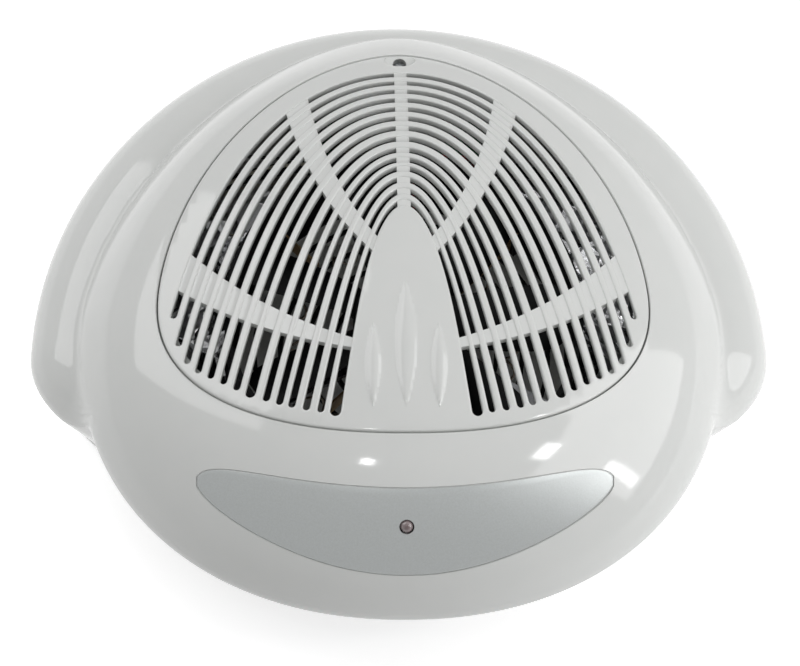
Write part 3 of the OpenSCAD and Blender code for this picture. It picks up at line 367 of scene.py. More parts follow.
def screw_tree():
    """Geometry nodes for screws at the points of a mesh, each along the point's axis attribute."""
    tree = bpy.data.node_groups.new("pan_head_screws", "GeometryNodeTree")
    tree.interface.new_socket("Seats", in_out="INPUT", socket_type="NodeSocketGeometry")
    for name in ("Head radius", "Head height", "Shank radius", "Shank length"):
        tree.interface.new_socket(name, in_out="INPUT", socket_type="NodeSocketFloat")
    tree.interface.new_socket("Metal", in_out="INPUT", socket_type="NodeSocketMaterial")
    tree.interface.new_socket("Screws", in_out="OUTPUT", socket_type="NodeSocketGeometry")
    given = add(tree, "NodeGroupInput").outputs
    scaled = [add(tree, "ShaderNodeMath", {0: given[name], 1: share}, operation="MULTIPLY").outputs[0]
              for name, share in (("Head radius", 1.15), ("Head radius", 0.26), ("Head height", 0.45),
                                  ("Head height", 0.5), ("Shank length", -0.49))]
    long_side, short_side, bar_up, head_up, shank_down = scaled
    head = add(tree, "GeometryNodeMeshCylinder", {
        "Vertices": 24, "Side Segments": 2, "Fill Segments": 4, "Radius": given["Head radius"],
        "Depth": given["Head height"]})
    place = add(tree, "GeometryNodeInputPosition").outputs["Position"]
    part = add(tree, "ShaderNodeSeparateXYZ", {0: place}).outputs
    flat = add(tree, "ShaderNodeCombineXYZ", {"X": part["X"], "Y": part["Y"]}).outputs[0]
    out = add(tree, "ShaderNodeVectorMath", {0: flat}, operation="LENGTH").outputs["Value"]
    upper = add(tree, "ShaderNodeMath", {0: part["Z"], 1: 0}, operation="GREATER_THAN").outputs[0]
    fall = add(tree, "ShaderNodeMath", {0: out, 1: given["Head radius"]}, operation="DIVIDE").outputs[0]
    for operation, by in (("POWER", 3), ("MULTIPLY", upper), ("MULTIPLY", given["Head height"]),
                          ("MULTIPLY", -0.55)):
        fall = add(tree, "ShaderNodeMath", {0: fall, 1: by}, operation=operation).outputs[0]
    drop = add(tree, "ShaderNodeCombineXYZ", {"Z": fall}).outputs[0]
    domed = add(tree, "GeometryNodeSetPosition", {"Geometry": head.outputs["Mesh"], "Offset": drop})
    crossed = add(tree, "GeometryNodeMeshBoolean", {"Mesh 1": domed.outputs["Geometry"]},
                  operation="DIFFERENCE")
    shank = add(tree, "GeometryNodeMeshCylinder", {
        "Vertices": 16, "Radius": given["Shank radius"], "Depth": given["Shank length"]})
    whole = add(tree, "GeometryNodeJoinGeometry")
    bars = []
    for x, y in ((long_side, short_side), (short_side, long_side)):
        size = add(tree, "ShaderNodeCombineXYZ", {"X": x, "Y": y, "Z": given["Head height"]}).outputs[0]
        bars.append(add(tree, "GeometryNodeMeshCube", {"Size": size}))
    recess = crossed.inputs["Mesh 2"]
    for mesh, rise, socket in ((bars[0], bar_up, recess), (bars[1], bar_up, recess),
                               (crossed, head_up, whole.inputs[0]), (shank, shank_down, whole.inputs[0])):
        way = add(tree, "ShaderNodeCombineXYZ", {"Z": rise}).outputs[0]
        moved = add(tree, "GeometryNodeTransform", {"Geometry": mesh.outputs["Mesh"], "Translation": way})
        tree.links.new(moved.outputs["Geometry"], socket)
    axis = add(tree, "GeometryNodeInputNamedAttribute", {"Name": "axis"}, data_type="FLOAT_VECTOR")
    turn = add(tree, "FunctionNodeAlignRotationToVector", {"Vector": axis.outputs["Attribute"]}, axis="Z")
    placed = add(tree, "GeometryNodeInstanceOnPoints", {
        "Points": given["Seats"], "Instance": whole.outputs[0], "Rotation": turn.outputs["Rotation"]})
    real = add(tree, "GeometryNodeRealizeInstances", {"Geometry": placed.outputs[0]})
    painted = add(tree, "GeometryNodeSetMaterial", {"Geometry": real.outputs[0], "Material": given["Metal"]})
    add(tree, "NodeGroupOutput", {"Screws": painted.outputs[0]})
    return tree


def grown(name, mesh, tree, inputs, material, sharp=35):
    """Runs a tree on a mesh and keeps what it grows as a plain mesh."""
    piece = bpy.data.objects.new(name, mesh)
    scene.collection.objects.link(piece)
    engine = piece.modifiers.new("nodes", "NODES")
    engine.node_group = tree
    sockets = {item.name: item.identifier for item in tree.interface.items_tree if item.in_out == "INPUT"}
    for key, value in inputs.items():
        engine[sockets[key]] = value
    settle(piece)
    tidy(piece, material, sharp)
    return piece


PAN_HEADS = screw_tree()


def screws(name, node, seats, axis, head_r, head_h, shank_r, length):
    """Screws whose heads sit on the seats and point along the axis, in place of a CAD node."""
    mesh = bpy.data.meshes.new(name)
    mesh.from_pydata([[c * MM for c in seat] for seat in seats], [], [])
    field = mesh.attributes.new("axis", "FLOAT_VECTOR", "POINT")
    for value in field.data:
        value.vector = axis
    piece = grown(name, mesh, PAN_HEADS, {
        "Head radius": head_r * MM, "Head height": head_h * MM, "Shank radius": shank_r * MM,
        "Shank length": length * MM, "Metal": zinc}, zinc)
    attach(piece, "dryer_body")
    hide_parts(node)
    return piece


def lifted_to(z, places):
    """Places in plan at a height."""
    return [(x, y, z) for x, y in places]


UP, DOWN = (0, 0, 1), (0, 0, -1)
SCREW = (2.65, 1.8, 1.25)
screws("case_pan_screws", "case_screws", lifted_to(5, both_sides(*CASE_POSTS)), DOWN, *SCREW, 14)

# ---- The hand chamber
# A thin wall of moulded white ABS that arches round the hands behind and opens towards the front. It keeps
# the warm air in, and its flared ends meet the cover's wall.


def turning_point(low, high, test):
    """Where between low and high the test changes."""
    start = test(low)
    for _ in range(30):
        middle = (low + high) / 2
        if test(middle) == start:
            low = middle
        else:
            high = middle
    return (low + high) / 2


WALL = 2.5
PLATE_BOTTOM = 56
CHAMBER_WALL = 2


def chamber_path(grow, z):
    """The wall's line at a height, from its left flare round the back to its right one."""

    def round_back(degrees):
        turn = math.radians(degrees)
        return spot(turn, reach(turn, 96 + grow, 400, 70 + grow, 2, 2.6))

    start = (96.4 + grow * 0.7, -43.5 - grow * 0.35)

    def along(k):
        return start[0] + 20.5 * k, start[1] - 23 * k

    def at_cover(k):
        x, y = along(k)
        return math.hypot(x, y - WAIST_Y) > wall_reach(math.atan2(y - WAIST_Y, x), z) - WALL - 0.45

    stop = turning_point(0, 1.2, at_cover)
    side = [round_back(-a) for a in (4, 8, 12)] + [start, along(stop / 2), along(stop)]
    return [(-x, y) for x, y in side[::-1]] + [round_back(180 - k) for k in range(0, 181, 3)] + side


chamber_rings = []
for z in (TRAY_TOP, TRAY_TOP + 0.4, 20, 32, 44, PLATE_BOTTOM - 0.4, PLATE_BOTTOM):
    soft = 0.35 if z in (TRAY_TOP, PLATE_BOTTOM) else 0
    chamber_rings.append(lifted_to(z, chamber_path(soft, z) + chamber_path(CHAMBER_WALL - soft, z)[::-1]))
# The inside of the chamber is the same white ABS with a finer matt texture from the mould.
matt_abs = moulded("white_abs_textured", "#D6D7D4", "#CCCDCB", 0.42, 0.5, 0.012)
chamber = make_piece("chamber_wall", sum(chamber_rings, []), loft(chamber_rings, False), matt_abs)
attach(chamber, "dryer_body")
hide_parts("hand_chamber")

# ---- The fan duct
# A plate with a round duct on it, moulded in black nylon with a little glass in it, screwed to the cover's
# posts. It carries the heater and the motor. The CAD shape is right and keeps its form.


def finish(material, *names):
    """Gives CAD nodes that keep their shape a material."""
    for name in names:
        for place in nodes[name].material_slots:
            place.material = material


# Glass-filled nylon: matt, with pale flecks of fibre about 0.4 mm long at the skin. Its near black is partly
# the nylon's own colour and partly painted shade for the dark inside the dryer.
dark_nylon_and_painted_shade = moulded("glass_filled_nylon", "#0E0F10", "#151618", 0.6, 0.4, 0.03, shine=0.2)
finish(dark_nylon_and_painted_shade, "air_duct")
DUCT_POSTS = ((92.97, 19.47), (70.4, -90.4))
screws("duct_pan_screws", "duct_screws", lifted_to(PLATE_BOTTOM, both_sides(*DUCT_POSTS)), DOWN, *SCREW, 9)

# ---- The outlet guard
# A wire-like guard moulded in the same nylon under the fan: five rings on six spokes, held by three screws.


def ring_tree():
    """Geometry nodes that repeat a mesh round an upright axis."""
    tree = bpy.data.node_groups.new("repeat_round_an_axis", "GeometryNodeTree")
    tree.interface.new_socket("One", in_out="INPUT", socket_type="NodeSocketGeometry")
    tree.interface.new_socket("Count", in_out="INPUT", socket_type="NodeSocketInt")
    tree.interface.new_socket("Centre", in_out="INPUT", socket_type="NodeSocketVector")
    tree.interface.new_socket("Finish", in_out="INPUT", socket_type="NodeSocketMaterial")
    tree.interface.new_socket("All", in_out="OUTPUT", socket_type="NodeSocketGeometry")
    given = add(tree, "NodeGroupInput").outputs
    points = add(tree, "GeometryNodePoints", {"Count": given["Count"], "Position": given["Centre"]})
    number = add(tree, "GeometryNodeInputIndex").outputs[0]
    share = add(tree, "ShaderNodeMath", {0: number, 1: given["Count"]}, operation="DIVIDE").outputs[0]
    angle = add(tree, "ShaderNodeMath", {0: share, 1: math.tau}, operation="MULTIPLY").outputs[0]
    turn = add(tree, "ShaderNodeCombineXYZ", {"Z": angle})
    placed = add(tree, "GeometryNodeInstanceOnPoints", {
        "Points": points.outputs[0], "Instance": given["One"], "Rotation": turn.outputs[0]})
    real = add(tree, "GeometryNodeRealizeInstances", {"Geometry": placed.outputs[0]})
    painted = add(tree, "GeometryNodeSetMaterial", {"Geometry": real.outputs[0], "Material": given["Finish"]})
    add(tree, "NodeGroupOutput", {"All": painted.outputs[0]})
    return tree


ROUND = ring_tree()


def repeated(name, shape_of_one, count, centre, material, sharp=35):
    """A shape in millimetres round the origin, repeated round an upright axis through a centre."""
    one = make_piece(name + "_one", *shape_of_one, material, sharp)
    mesh = one.data
    bpy.data.objects.remove(one)
    return grown(name, mesh, ROUND, {"Count": count, "Centre": [c * MM for c in centre], "Finish": material},
                 material, sharp)


def block(low, high):
    """A plain box between two corners."""
    points = [(x, y, z) for x in (low[0], high[0]) for y in (low[1], high[1]) for z in (low[2], high[2])]
    return points, [(0, 1, 3, 2), (4, 6, 7, 5), (0, 4, 5, 1), (2, 3, 7, 6), (0, 2, 6, 4), (1, 5, 7, 3)]


def wire_ring(r, half, low, high):
    """The profile of a flat ring with rounded edges, for the lathe. It closes on itself."""
    soft = 0.45
    return [(r - half, low + soft), (r - half, high - soft), (r - half + soft, high), (r + half - soft, high),
            (r + half, high - soft), (r + half, low + soft), (r + half - soft, low), (r - half + soft, low),
            (r - half, low + soft)]


GUARD_BOTTOM = 54
rings = [lathe(wire_ring(r, half, GUARD_BOTTOM, PLATE_BOTTOM), 96, at(0, FAN_Y))
         for r, half in ((17, 0.9), (27, 0.9), (37, 0.9), (47, 0.9), (57, 0.9), (66.5, 3))]
guard_rings = make_piece("guard_rings", *joined(*rings), dark_nylon_and_painted_shade)
spoke_turn = Matrix.Rotation(math.radians(20), 4, "Z")
spoke = block((16.8, -0.8, GUARD_BOTTOM + 0.1), (64, 0.8, PLATE_BOTTOM - 0.1))
spoke = ([tuple(spoke_turn @ Vector(p)) for p in spoke[0]], spoke[1])
guard_spokes = repeated("guard_spokes", spoke, 6, (0, FAN_Y, 0), dark_nylon_and_painted_shade)
for piece in (guard_rings, guard_spokes):
    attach(piece, "dryer_body")
    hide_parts("outlet_guard")
guard_seats = lifted_to(GUARD_BOTTOM, [on_circle(67.6, a, 0, FAN_Y) for a in (30, 150, 270)])
screws("guard_pan_screws", "guard_screws", guard_seats, DOWN, 1.7, 0.9, 0.85, 3.2)

# ---- The heat shield
# Aluminium foil laid over the duct's plate by hand. It is crumpled, so it throws bright and dark facets
# that flash through the slots.


def plate_reach(turn):
    """The duct plate's outline."""
    return reach(turn, 119.3, 108.3, 84, 2.15, 2.4)


def triangles(flat, edges, outlines):
    """Triangles inside the first outline and outside the others: their places, faces and what each place
    was in `flat`."""
    places, _, faces, sources, _, parents = delaunay_2d_cdt(
        [Vector(place) for place in flat], edges, outlines, 0, 1e-5, True)
    return places, [tuple(face) for face, parent in zip(faces, parents) if list(parent) == [0]], sources


PLATE_TOP = 58.7
FOIL_INSET, FOIL_HOLE_R = 6.5, 69
crumple = random.Random(7)
foil_edge = smooth_outline(lambda turn: plate_reach(turn) - FOIL_INSET, 90)
foil_hole = [on_circle(FOIL_HOLE_R, 6 * k, 0, FAN_Y) for k in range(60)]
foil_flat = foil_edge + foil_hole
foil_flat += [(crumple.uniform(-115, 115), crumple.uniform(-120, 70)) for _ in range(900)]
places, foil_faces, _ = triangles(foil_flat, [], [list(range(90)), list(range(90, 150))])
foil_points = []
for x, y in places:
    to_edge = plate_reach(math.atan2(y - WAIST_Y, x)) - FOIL_INSET - math.hypot(x, y - WAIST_Y)
    near = min(1, max(0, min(to_edge, math.hypot(x, y - FAN_Y) - FOIL_HOLE_R) / 6))
    foil_points.append((x, y, PLATE_TOP + near * crumple.uniform(0.2, 6.5)))
# Household aluminium foil: bright, with folds some 5 mm apart and fine creases between them.
foil, tree = new_material("aluminium_foil")
place = add(tree, "ShaderNodeTexCoord").outputs["Object"]
creases = add(tree, "ShaderNodeTexVoronoi", {"Vector": place, "Scale": 1 / (5 * MM)},
              feature="DISTANCE_TO_EDGE")
folds = add(tree, "ShaderNodeBump", {
    "Height": creases.outputs["Distance"], "Distance": 0.8 * MM, "Strength": 1})
fine = add(tree, "ShaderNodeTexNoise", {"Vector": place, "Scale": 1 / (1.2 * MM), "Detail": 4}).outputs["Fac"]
bump = add(tree, "ShaderNodeBump", {
    "Height": fine, "Distance": 0.06 * MM, "Strength": 1, "Normal": folds.outputs["Normal"]})
gloss = add(tree, "ShaderNodeMapRange", {"Value": fine, "To Min": 0.12, "To Max": 0.32})
shader = add(tree, "ShaderNodeBsdfPrincipled", {
    "Base Color": linear("#E1E2E4"), "Metallic": 1, "Roughness": gloss.outputs["Result"],
    "Normal": bump.outputs["Normal"]})
add(tree, "ShaderNodeOutputMaterial", {"Surface": shader.outputs["BSDF"]})
shield = make_piece("crumpled_foil", foil_points, foil_faces, foil, 12)
thick = shield.modifiers.new("thickness", "SOLIDIFY")
thick.thickness, thick.offset = 0.12 * MM, 0
settle(shield)
tidy(shield, foil, 12)
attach(shield, "dryer_body")
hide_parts("heat_shield")

# ---- The heater
# Two crossed strips of mica hold one coil of nickel-chrome wire in notches under the fan. A thermal cutout
# beside the duct breaks the circuit if the air stops.

# Pressed mica: tan and brown flakes about 3 mm across under a slight waxy sheen.
mica, tree = new_material("mica_board")
place = add(tree, "ShaderNodeTexCoord").outputs["Object"]
flakes = add(tree, "ShaderNodeTexVoronoi", {"Vector": place, "Scale": 1 / (3 * MM)}).outputs["Distance"]
cloud = add(tree, "ShaderNodeTexNoise", {"Vector": place, "Scale": 1 / (9 * MM), "Detail": 5}).outputs["Fac"]
blend = add(tree, "ShaderNodeMix", {0: flakes, 2: cloud, 3: 0.6}).outputs[0]
tint = add(tree, "ShaderNodeMix", {"Factor": blend, "A": linear("#B79F75"), "B": linear("#7D6442")},
           data_type="RGBA")
shader = add(tree, "ShaderNodeBsdfPrincipled", {"Base Color": tint.outputs["Result"], "Roughness": 0.38})
add(tree, "ShaderNodeOutputMaterial", {"Surface": shader.outputs["BSDF"]})
finish(mica, "mica_board_a", "mica_board_b")


def run(name, node, lines, r, material):
    """Wires along lines of points, round and closed, in place of a CAD node."""
    curve = bpy.data.curves.new(name, "CURVE")
    curve.dimensions, curve.bevel_depth, curve.bevel_resolution, curve.use_fill_caps = "3D", r * MM, 2, True
    for line in lines:
        spline = curve.splines.new("POLY")
        spline.points.add(len(line) - 1)
        for point, place in zip(spline.points, line):
            point.co = (*[c * MM for c in place], 1)
    piece = bpy.data.objects.new(name, curve)
    scene.collection.objects.link(piece)
    mesh = bpy.data.meshes.new_from_object(piece.evaluated_get(bpy.context.evaluated_depsgraph_get()))
    bpy.data.objects.remove(piece)
    piece = bpy.data.objects.new(name, mesh)
    scene.collection.objects.link(piece)
    tidy(piece, material, 60)
    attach(piece, "dryer_body")
    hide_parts(node)
    return piece


# Nickel-chrome wire: grey-brown oxide from its first heating, with a dull metallic sheen.
nichrome = turned_metal("nickel_chrome_wire", "#8D857A", "#6A6259", 0.42, 0.8)
COIL_TURNS, TURN_STEPS, COIL_Z = 24, 20, 63.3
helix = []
for k in range(COIL_TURNS * TURN_STEPS + 1):
    across, up = on_circle(3, 360 * k / TURN_STEPS)
    round_fan = 96 + 348 * k / (COIL_TURNS * TURN_STEPS)
    helix.append((*on_circle(42 + across, round_fan, 0, FAN_Y), COIL_Z + up))
run("heater_wire_coil", "heater_coil", [helix], 0.5, nichrome)
# Drawn steel: bright, with fine marks along the draw.
drawn_steel = turned_metal("drawn_steel", "#BFC0C2", "#9B9DA0", 0.3, 0.7, (1, 1, 0.15))
finish(drawn_steel, "thermal_cutout")

# ---- The motor
# A small brushed direct-current motor in a drawn steel can, on a three-armed bracket of pressed sheet. Its
# ferrite magnets, bronze bushes, brushes and wound armature are the CAD shapes with their own finishes.

finish(drawn_steel, "motor_can", "motor_shaft", "motor_bracket", "impeller_clip")
bracket_seats = lifted_to(70, [on_circle(62, a, 0, FAN_Y) for a in (90, 210, 330)])
screws("bracket_pan_screws", "bracket_screws", bracket_seats, UP, 2.6, 1.6, 1.1, 7)
screws("motor_pan_screws", "motor_screws", both_sides((8.5, FAN_Y, 67.5)), DOWN, 2.2, 0.6, 1, 4.7)
finish(dark_nylon_and_painted_shade, "motor_end_cap")
# Sintered ferrite: charcoal grey and dull, with a fine sandy grain.
ferrite = moulded("sintered_ferrite", "#38383B", "#2B2B2E", 0.62, 0.3, 0.04, 1.6)
finish(ferrite, "motor_magnets")
# Sintered bronze: soft golden brown, porous, so it shines only a little.
bronze = turned_metal("sintered_bronze", "#B08A4E", "#8C6A38", 0.45, 0.5)
finish(bronze, "upper_bearing", "lower_bearing")
# Copper: enamelled winding and bare contact strips.
copper = turned_metal("copper", "#C77F55", "#9A5B38", 0.3, 0.6, (1, 1, 4))
finish(copper, "armature", "commutator", "motor_brushes")

# ---- The fan
# One moulding in black ABS: a cup-shaped hub with seven pitched, slightly hollow blades, pressed on the
# motor's shaft and held by a spring clip. It draws air down through the grille.


def blade_shape():
    """One blade as a thin closed sheet: pitched 32 degrees at the root and 26 at the tip, hollow along its
    chord and rounded at the tip's corners."""
    rows, columns, points = 10, 8, []
    root_r, tip_r, middle_z = 17.6, 63, 82.1
    for side in (1, -1):
        for i in range(rows + 1):
            u = i / rows
            r = root_r + (tip_r - root_r) * u
            tip_corner = 1 - 0.28 * max(0, (u - 0.8) / 0.2) ** 3
            chord = (18 + 7.5 * math.sin(math.pi / 2 * min(1, u * 1.3))) * tip_corner
            pitch, sweep = math.radians(32 - 6 * u), 2.5 * u * u
            for j in range(columns + 1):
                c = j / columns - 0.5
                hollow = 1.6 * (1 - 4 * c * c) - 0.8
                thick = (0.75 - 0.25 * u) * math.sqrt(max(0.08, 1 - (2 * c) ** 4)) * side
                across, above = c * chord, hollow + thick
                y = across * math.cos(pitch) - above * math.sin(pitch)
                z = across * math.sin(pitch) + above * math.cos(pitch)
                points.append((*on_circle(r, math.degrees((y + sweep) / r)), middle_z + z))
    wide = columns + 1
    size, faces = (rows + 1) * wide, []
    for i in range(rows):
        for j in range(columns):
            a = i * wide + j
            b = a + size
            faces += [(a, a + 1, a + wide + 1, a + wide), (b, b + wide, b + wide + 1, b + 1)]
    border = list(range(wide)) + [i * wide + columns for i in range(1, rows + 1)]
    border += [rows * wide + j for j in range(columns - 1, -1, -1)]
    border += [i * wide for i in range(rows - 1, 0, -1)]
    faces += [(border[k - 1], border[k], size + border[k], size + border[k - 1]) for k in range(len(border))]
    return points, faces


# Black ABS: glossier than the nylon, with a soft sheen along the blades and a little dust. Its near black is
# partly the plastic's own colour and partly painted shade for the dark inside the dryer.
black_abs_and_painted_shade = moulded("black_abs_and_painted_shade", "#0C0C0D", "#131416", 0.45, 0.9, 0.01, shine=0.2)
blades = repeated("fan_blades", blade_shape(), 7, (0, FAN_Y, 0), black_abs_and_painted_shade, 50)
HUB_TOP, HUB_BOTTOM = 90.2, 74.7
hub_profile = [(1.02, HUB_TOP), (3, HUB_TOP), (17.2, HUB_TOP), (18.2, HUB_TOP - 0.3), (18.8, HUB_TOP - 1),
               (19, HUB_TOP - 2), (19, HUB_BOTTOM + 0.5), (18.6, HUB_BOTTOM), (17, HUB_BOTTOM),
               (17, HUB_TOP - 2), (1.02, HUB_TOP - 2), (1.02, HUB_TOP)]
hub = make_piece("fan_hub", *lathe(hub_profile, 96, at(0, FAN_Y)), black_abs_and_painted_shade)
for piece in (blades, hub):
    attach(piece, "fan_rotor")
    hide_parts("fan_impeller")

# ---- The power board
# A paper-phenolic board on four stands behind the chamber, with a small transformer, an electrolytic
# capacitor and a screw terminal block. Dark green resist over copper.

board_green, tree = new_material("circuit_board_resist")
place = add(tree, "ShaderNodeTexCoord").outputs["Object"]
tracks = add(tree, "ShaderNodeTexBrick", {
    "Vector": place, "Scale": 1 / (8 * MM), "Mortar Size": 0.05, "Color1": linear("#1F5A3A"),
    "Color2": linear("#235F3F"), "Mortar": linear("#2F7A52")})
shader = add(tree, "ShaderNodeBsdfPrincipled", {"Base Color": tracks.outputs["Color"], "Roughness": 0.35})
add(tree, "ShaderNodeOutputMaterial", {"Surface": shader.outputs["BSDF"]})
finish(board_green, "power_board", "led_board")
board_top = BOARD_STAND_TOP + 1.6
screws("board_pan_screws", "board_screws", lifted_to(board_top, both_sides(*BOARD_PLACES)), UP, *SCREW, 8)
# Laminated steel: the thin edges of the core's sheets run across it, dark and light.
core, tree = new_material("laminated_core_steel")
place = add(tree, "ShaderNodeTexCoord").outputs["Object"]
sheets = add(tree, "ShaderNodeTexWave", {"Vector": place, "Scale": 1 / (3 * MM), "Distortion": 0.3},
             bands_direction="Y").outputs["Fac"]
tint = add(tree, "ShaderNodeMix", {"Factor": sheets, "A": linear("#8A857B"), "B": linear("#5E5A52")},
           data_type="RGBA")
shader = add(tree, "ShaderNodeBsdfPrincipled", {
    "Base Color": tint.outputs["Result"], "Roughness": 0.45, "Metallic": 1})
add(tree, "ShaderNodeOutputMaterial", {"Surface": shader.outputs["BSDF"]})
finish(core, "transformer")
# Shrunk polyester sleeve: dark blue and smooth, so it shines more than the parts round it.
sleeve = moulded("shrink_sleeve", "#1D2438", "#252D45", 0.22, 2, 0.005)
finish(sleeve, "filter_capacitor")
# Unfilled nylon: milky cream, half matt.
pale_nylon = moulded("pale_nylon", "#D4D3C9", "#C7C5B8", 0.4, 0.8, 0.01)
finish(pale_nylon, "terminal_block")

# ---- The switch and the cord entry
# A rocker switch in black nylon snaps into the back. Below it a rubber bush leads the cord in, and a steel
# clamp on the tray takes the pull.

finish(dark_nylon_and_painted_shade, "switch_body")
finish(black_abs_and_painted_shade, "switch_rocker")
finish(bronze, "switch_terminals")
finish(rubber, "cord_gland")
finish(zinc, "cord_clamp")
screws("clamp_pan_screws", "clamp_screws", lifted_to(20, both_sides(CLAMP_PLACE)), UP, *SCREW, 9)

# ---- The leads inside
# Stranded copper in soft PVC: a red pair for the motor, glass sleeve for the heater, grey to the switch and
# black to the indicator. Each lies where the CAD route lies.


def soft_line(points, steps=8):
    """A line through its inner points in rounded bends."""
    line = [points[0]]
    for before, here, after in zip(points, points[1:], points[2:]):
        start = tuple((p + q) / 2 for p, q in zip(before, here))
        stop = tuple((p + q) / 2 for p, q in zip(here, after))
        line += [bent(start, here, stop, (k + 0.5) / steps) for k in range(steps)]
    return line + [points[-1]]


def bent(a, b, c, u):
    """A point of a bowed line from a to c past b."""
    return tuple(p * (1 - u) ** 2 + q * 2 * u * (1 - u) + r * u * u for p, q, r in zip(a, b, c))


red_pvc = moulded("red_pvc", "#8E2118", "#7B1B14", 0.45, 1, 0.01, 1.54)
glass_sleeve = moulded("glass_fibre_sleeve", "#D9D4C3", "#BDB7A3", 0.6, 0.5, 0.05)
grey_pvc = moulded("grey_pvc", "#5B5E63", "#4D5055", 0.45, 1, 0.01, 1.54)
black_pvc = moulded("black_pvc", "#1C1C1E", "#262628", 0.45, 1, 0.01, 1.54)
LEAD_R = 0.7
run("motor_wire", "motor_lead", [soft_line([
    (3, -12.5, 72.9), (3, -6.5, 72.9), (5, 1.5, 71.3), (5, 47, 71.3), (5, 54, 71.3), (15, 58.9, 67),
    (30, 58.9, 65), (30, 58.9, 50), (34, 66, 41), (24, 84, 37), (20, 98, 34), (20, 98, 27.6)])],
    LEAD_R, red_pvc)
run("heater_wires", "heater_lead", [
    soft_line([(4.7, 23.05, 63.3), (7, 31.05, 63.3), (7, 47, 63.3), (7, 53, 63.3), (20, 55.5, 63),
               (30, 56.1, 62), (30, 56.1, 46), (28, 72, 30), (14, 90, 31), (14, 98, 30), (14, 98, 27.6)]),
    soft_line([(-4.7, 23.05, 63.3), (-7, 31.05, 63.3), (-7, 47, 63.3), (-7, 53, 63.3), (-30, 51, 61.5),
               (-44, 46, 61), (-51, 39, 61.1)]),
    soft_line([(-65, 25, 61.1), (-74, 26, 62), (-76, 44, 62), (-56, 55, 62.5), (-44, 56, 63.5),
               (-30, 57.5, 63), (-30, 58, 49), (-30, 66, 30), (-4, 70, 28), (2, 82, 30), (2, 92, 18.6)])],
    LEAD_R, glass_sleeve)
run("switch_wires", "switch_lead", [
    soft_line([(-6, 109.7, 32), (-6, 105, 30), (2, 103, 28), (3, 100, 18.6)]),
    soft_line([(6, 109.7, 32), (6, 104, 33), (26, 100, 36), (29, 90, 32), (29, 84, 18.6)])],
    LEAD_R, grey_pvc)
run("indicator_wire", "led_lead", [soft_line([
    (-10, -106, 77.35), (-26, -98, 74), (-60, -84, 70), (-82, -66, 68), (-98, -40, 66), (-104, -6, 64),
    (-104, 20, 62), (-96, 50, 58), (-74, 70, 48), (-44, 78, 30), (-32, 84, 24), (-31, 88, 18.6)])],
    LEAD_R, black_pvc)

# ---- The cover
# The real cover is one deep moulding in white ABS, 2.5 mm thick: crown, wings, brow and back in one. It
# screws down on the tray from below, and its edge stops short over the mouth in front.


def smooth_step(a):
    """Runs smoothly from 0 to 1."""
    c = min(max(a, 0), 1)
    return c * c * (3 - 2 * c)


MOUTH_TOP = 54
GRILLE_SEAT_DROP = 3.85


def cover_bottom(turn):
    """Lower edge of the cover: high over the mouth, 70 degrees to each side, and on the tray elsewhere."""
    from_front = math.degrees(math.acos(max(-1, min(1, -math.sin(turn)))))
    return MOUTH_TOP - (MOUTH_TOP - TRAY_TOP) * smooth_step((from_front - 70) / 8 + 0.5)


def cover_section(turn):
    """A closed section of the shell, from the grille's ledge over the top, down the wall and back inside."""
    s, edge, bottom = grille_reach(turn), edge_reach(turn), cover_bottom(turn)
    ledge, soft, inner, foot = s - 6, 0.8, s + WALL, wall_reach(turn, bottom)

    def top(r, inset=0):
        return dome(*spot(turn, r), inset)

    def eased(start, stop, count):
        return [start + (stop - start) * math.sin(math.pi / 2 * k / count) for k in range(count + 1)]

    middle = bottom + (hood(turn, edge) - bottom) / 2
    ledge_top, seat_top, lip = top(ledge, GRILLE_SEAT_DROP), top(s, GRILLE_SEAT_DROP), top(s)
    return ([(ledge, ledge_top), (s, seat_top), (s, lip - soft), (s + 0.11, lip - 0.4), (s + 0.4, lip - 0.11)]
            + [(r, hood(turn, r)) for r in eased(s + soft, edge, 44)]
            + [(wall_reach(turn, z), z) for z in (middle, bottom + 0.6)]
            + [(foot - 0.18, bottom + 0.18), (foot - 0.6, bottom), (foot - WALL, bottom)]
            + [(r, hood(turn, r, WALL)) for r in eased(inner, edge - WALL, 20)[::-1]]
            + [(inner, seat_top - WALL), (ledge, ledge_top - WALL)])


BROW_Y = -109.5
brow_slope = math.atan2(hood_at(0, BROW_Y + 1) - hood_at(0, BROW_Y - 1), 2)
on_brow = Matrix.Translation((0, BROW_Y, hood_at(0, BROW_Y))) @ Matrix.Rotation(brow_slope, 4, "X")


def label_grid(grow, drop, columns=96, rows=10):
    """The label's field as a grid of points that follow the cover, `drop` below it, with bowed edges that
    meet in blunt ends. It grows or shrinks by `grow`."""
    grid = []
    for i in range(columns + 1):
        u = math.sin(math.pi / 2 * (2 * i / columns - 1))
        inner = 0.995 * u
        end = 1 - math.sqrt(1 - abs(inner) ** 12)
        rear = -84 - 13.4 * (1 - inner * inner) ** 1.2 - 5 * end + grow
        front = -123.1 + 29.6 * abs(inner) ** 2.05 + 4.5 * end - grow
        x = u * (76 + grow)
        ys = [rear + (front - rear) * j / rows for j in range(rows + 1)]
        grid.append([(x, y, hood_at(x, y) - drop) for y in ys])
    return grid


def rim_of(grid):
    """The border of a grid as one loop."""
    last = len(grid[0]) - 1
    return ([row[0] for row in grid] + grid[-1][1:] + [row[last] for row in grid[-2::-1]]
            + grid[0][last - 1:0:-1])


def label_shape(*steps):
    """A closed slab in the label's outline: its first grid on top, the rims between, the last grid below."""
    grids = [label_grid(*step) for step in steps]
    faces, points = [], {}

    def put(*corners):
        keys = [tuple(round(c, 5) for c in corner) for corner in corners]
        faces.append(tuple(points.setdefault(key, len(points)) for key in keys))

    for grid in (grids[0], grids[-1]):
        for a, b in zip(grid, grid[1:]):
            for j in range(len(a) - 1):
                put(a[j], b[j], b[j + 1], a[j + 1])
    rims = [rim_of(grid) for grid in grids]
    for upper, lower in zip(rims, rims[1:]):
        for k in range(len(upper)):
            put(upper[k - 1], upper[k], lower[k], lower[k - 1])
    return list(points), faces


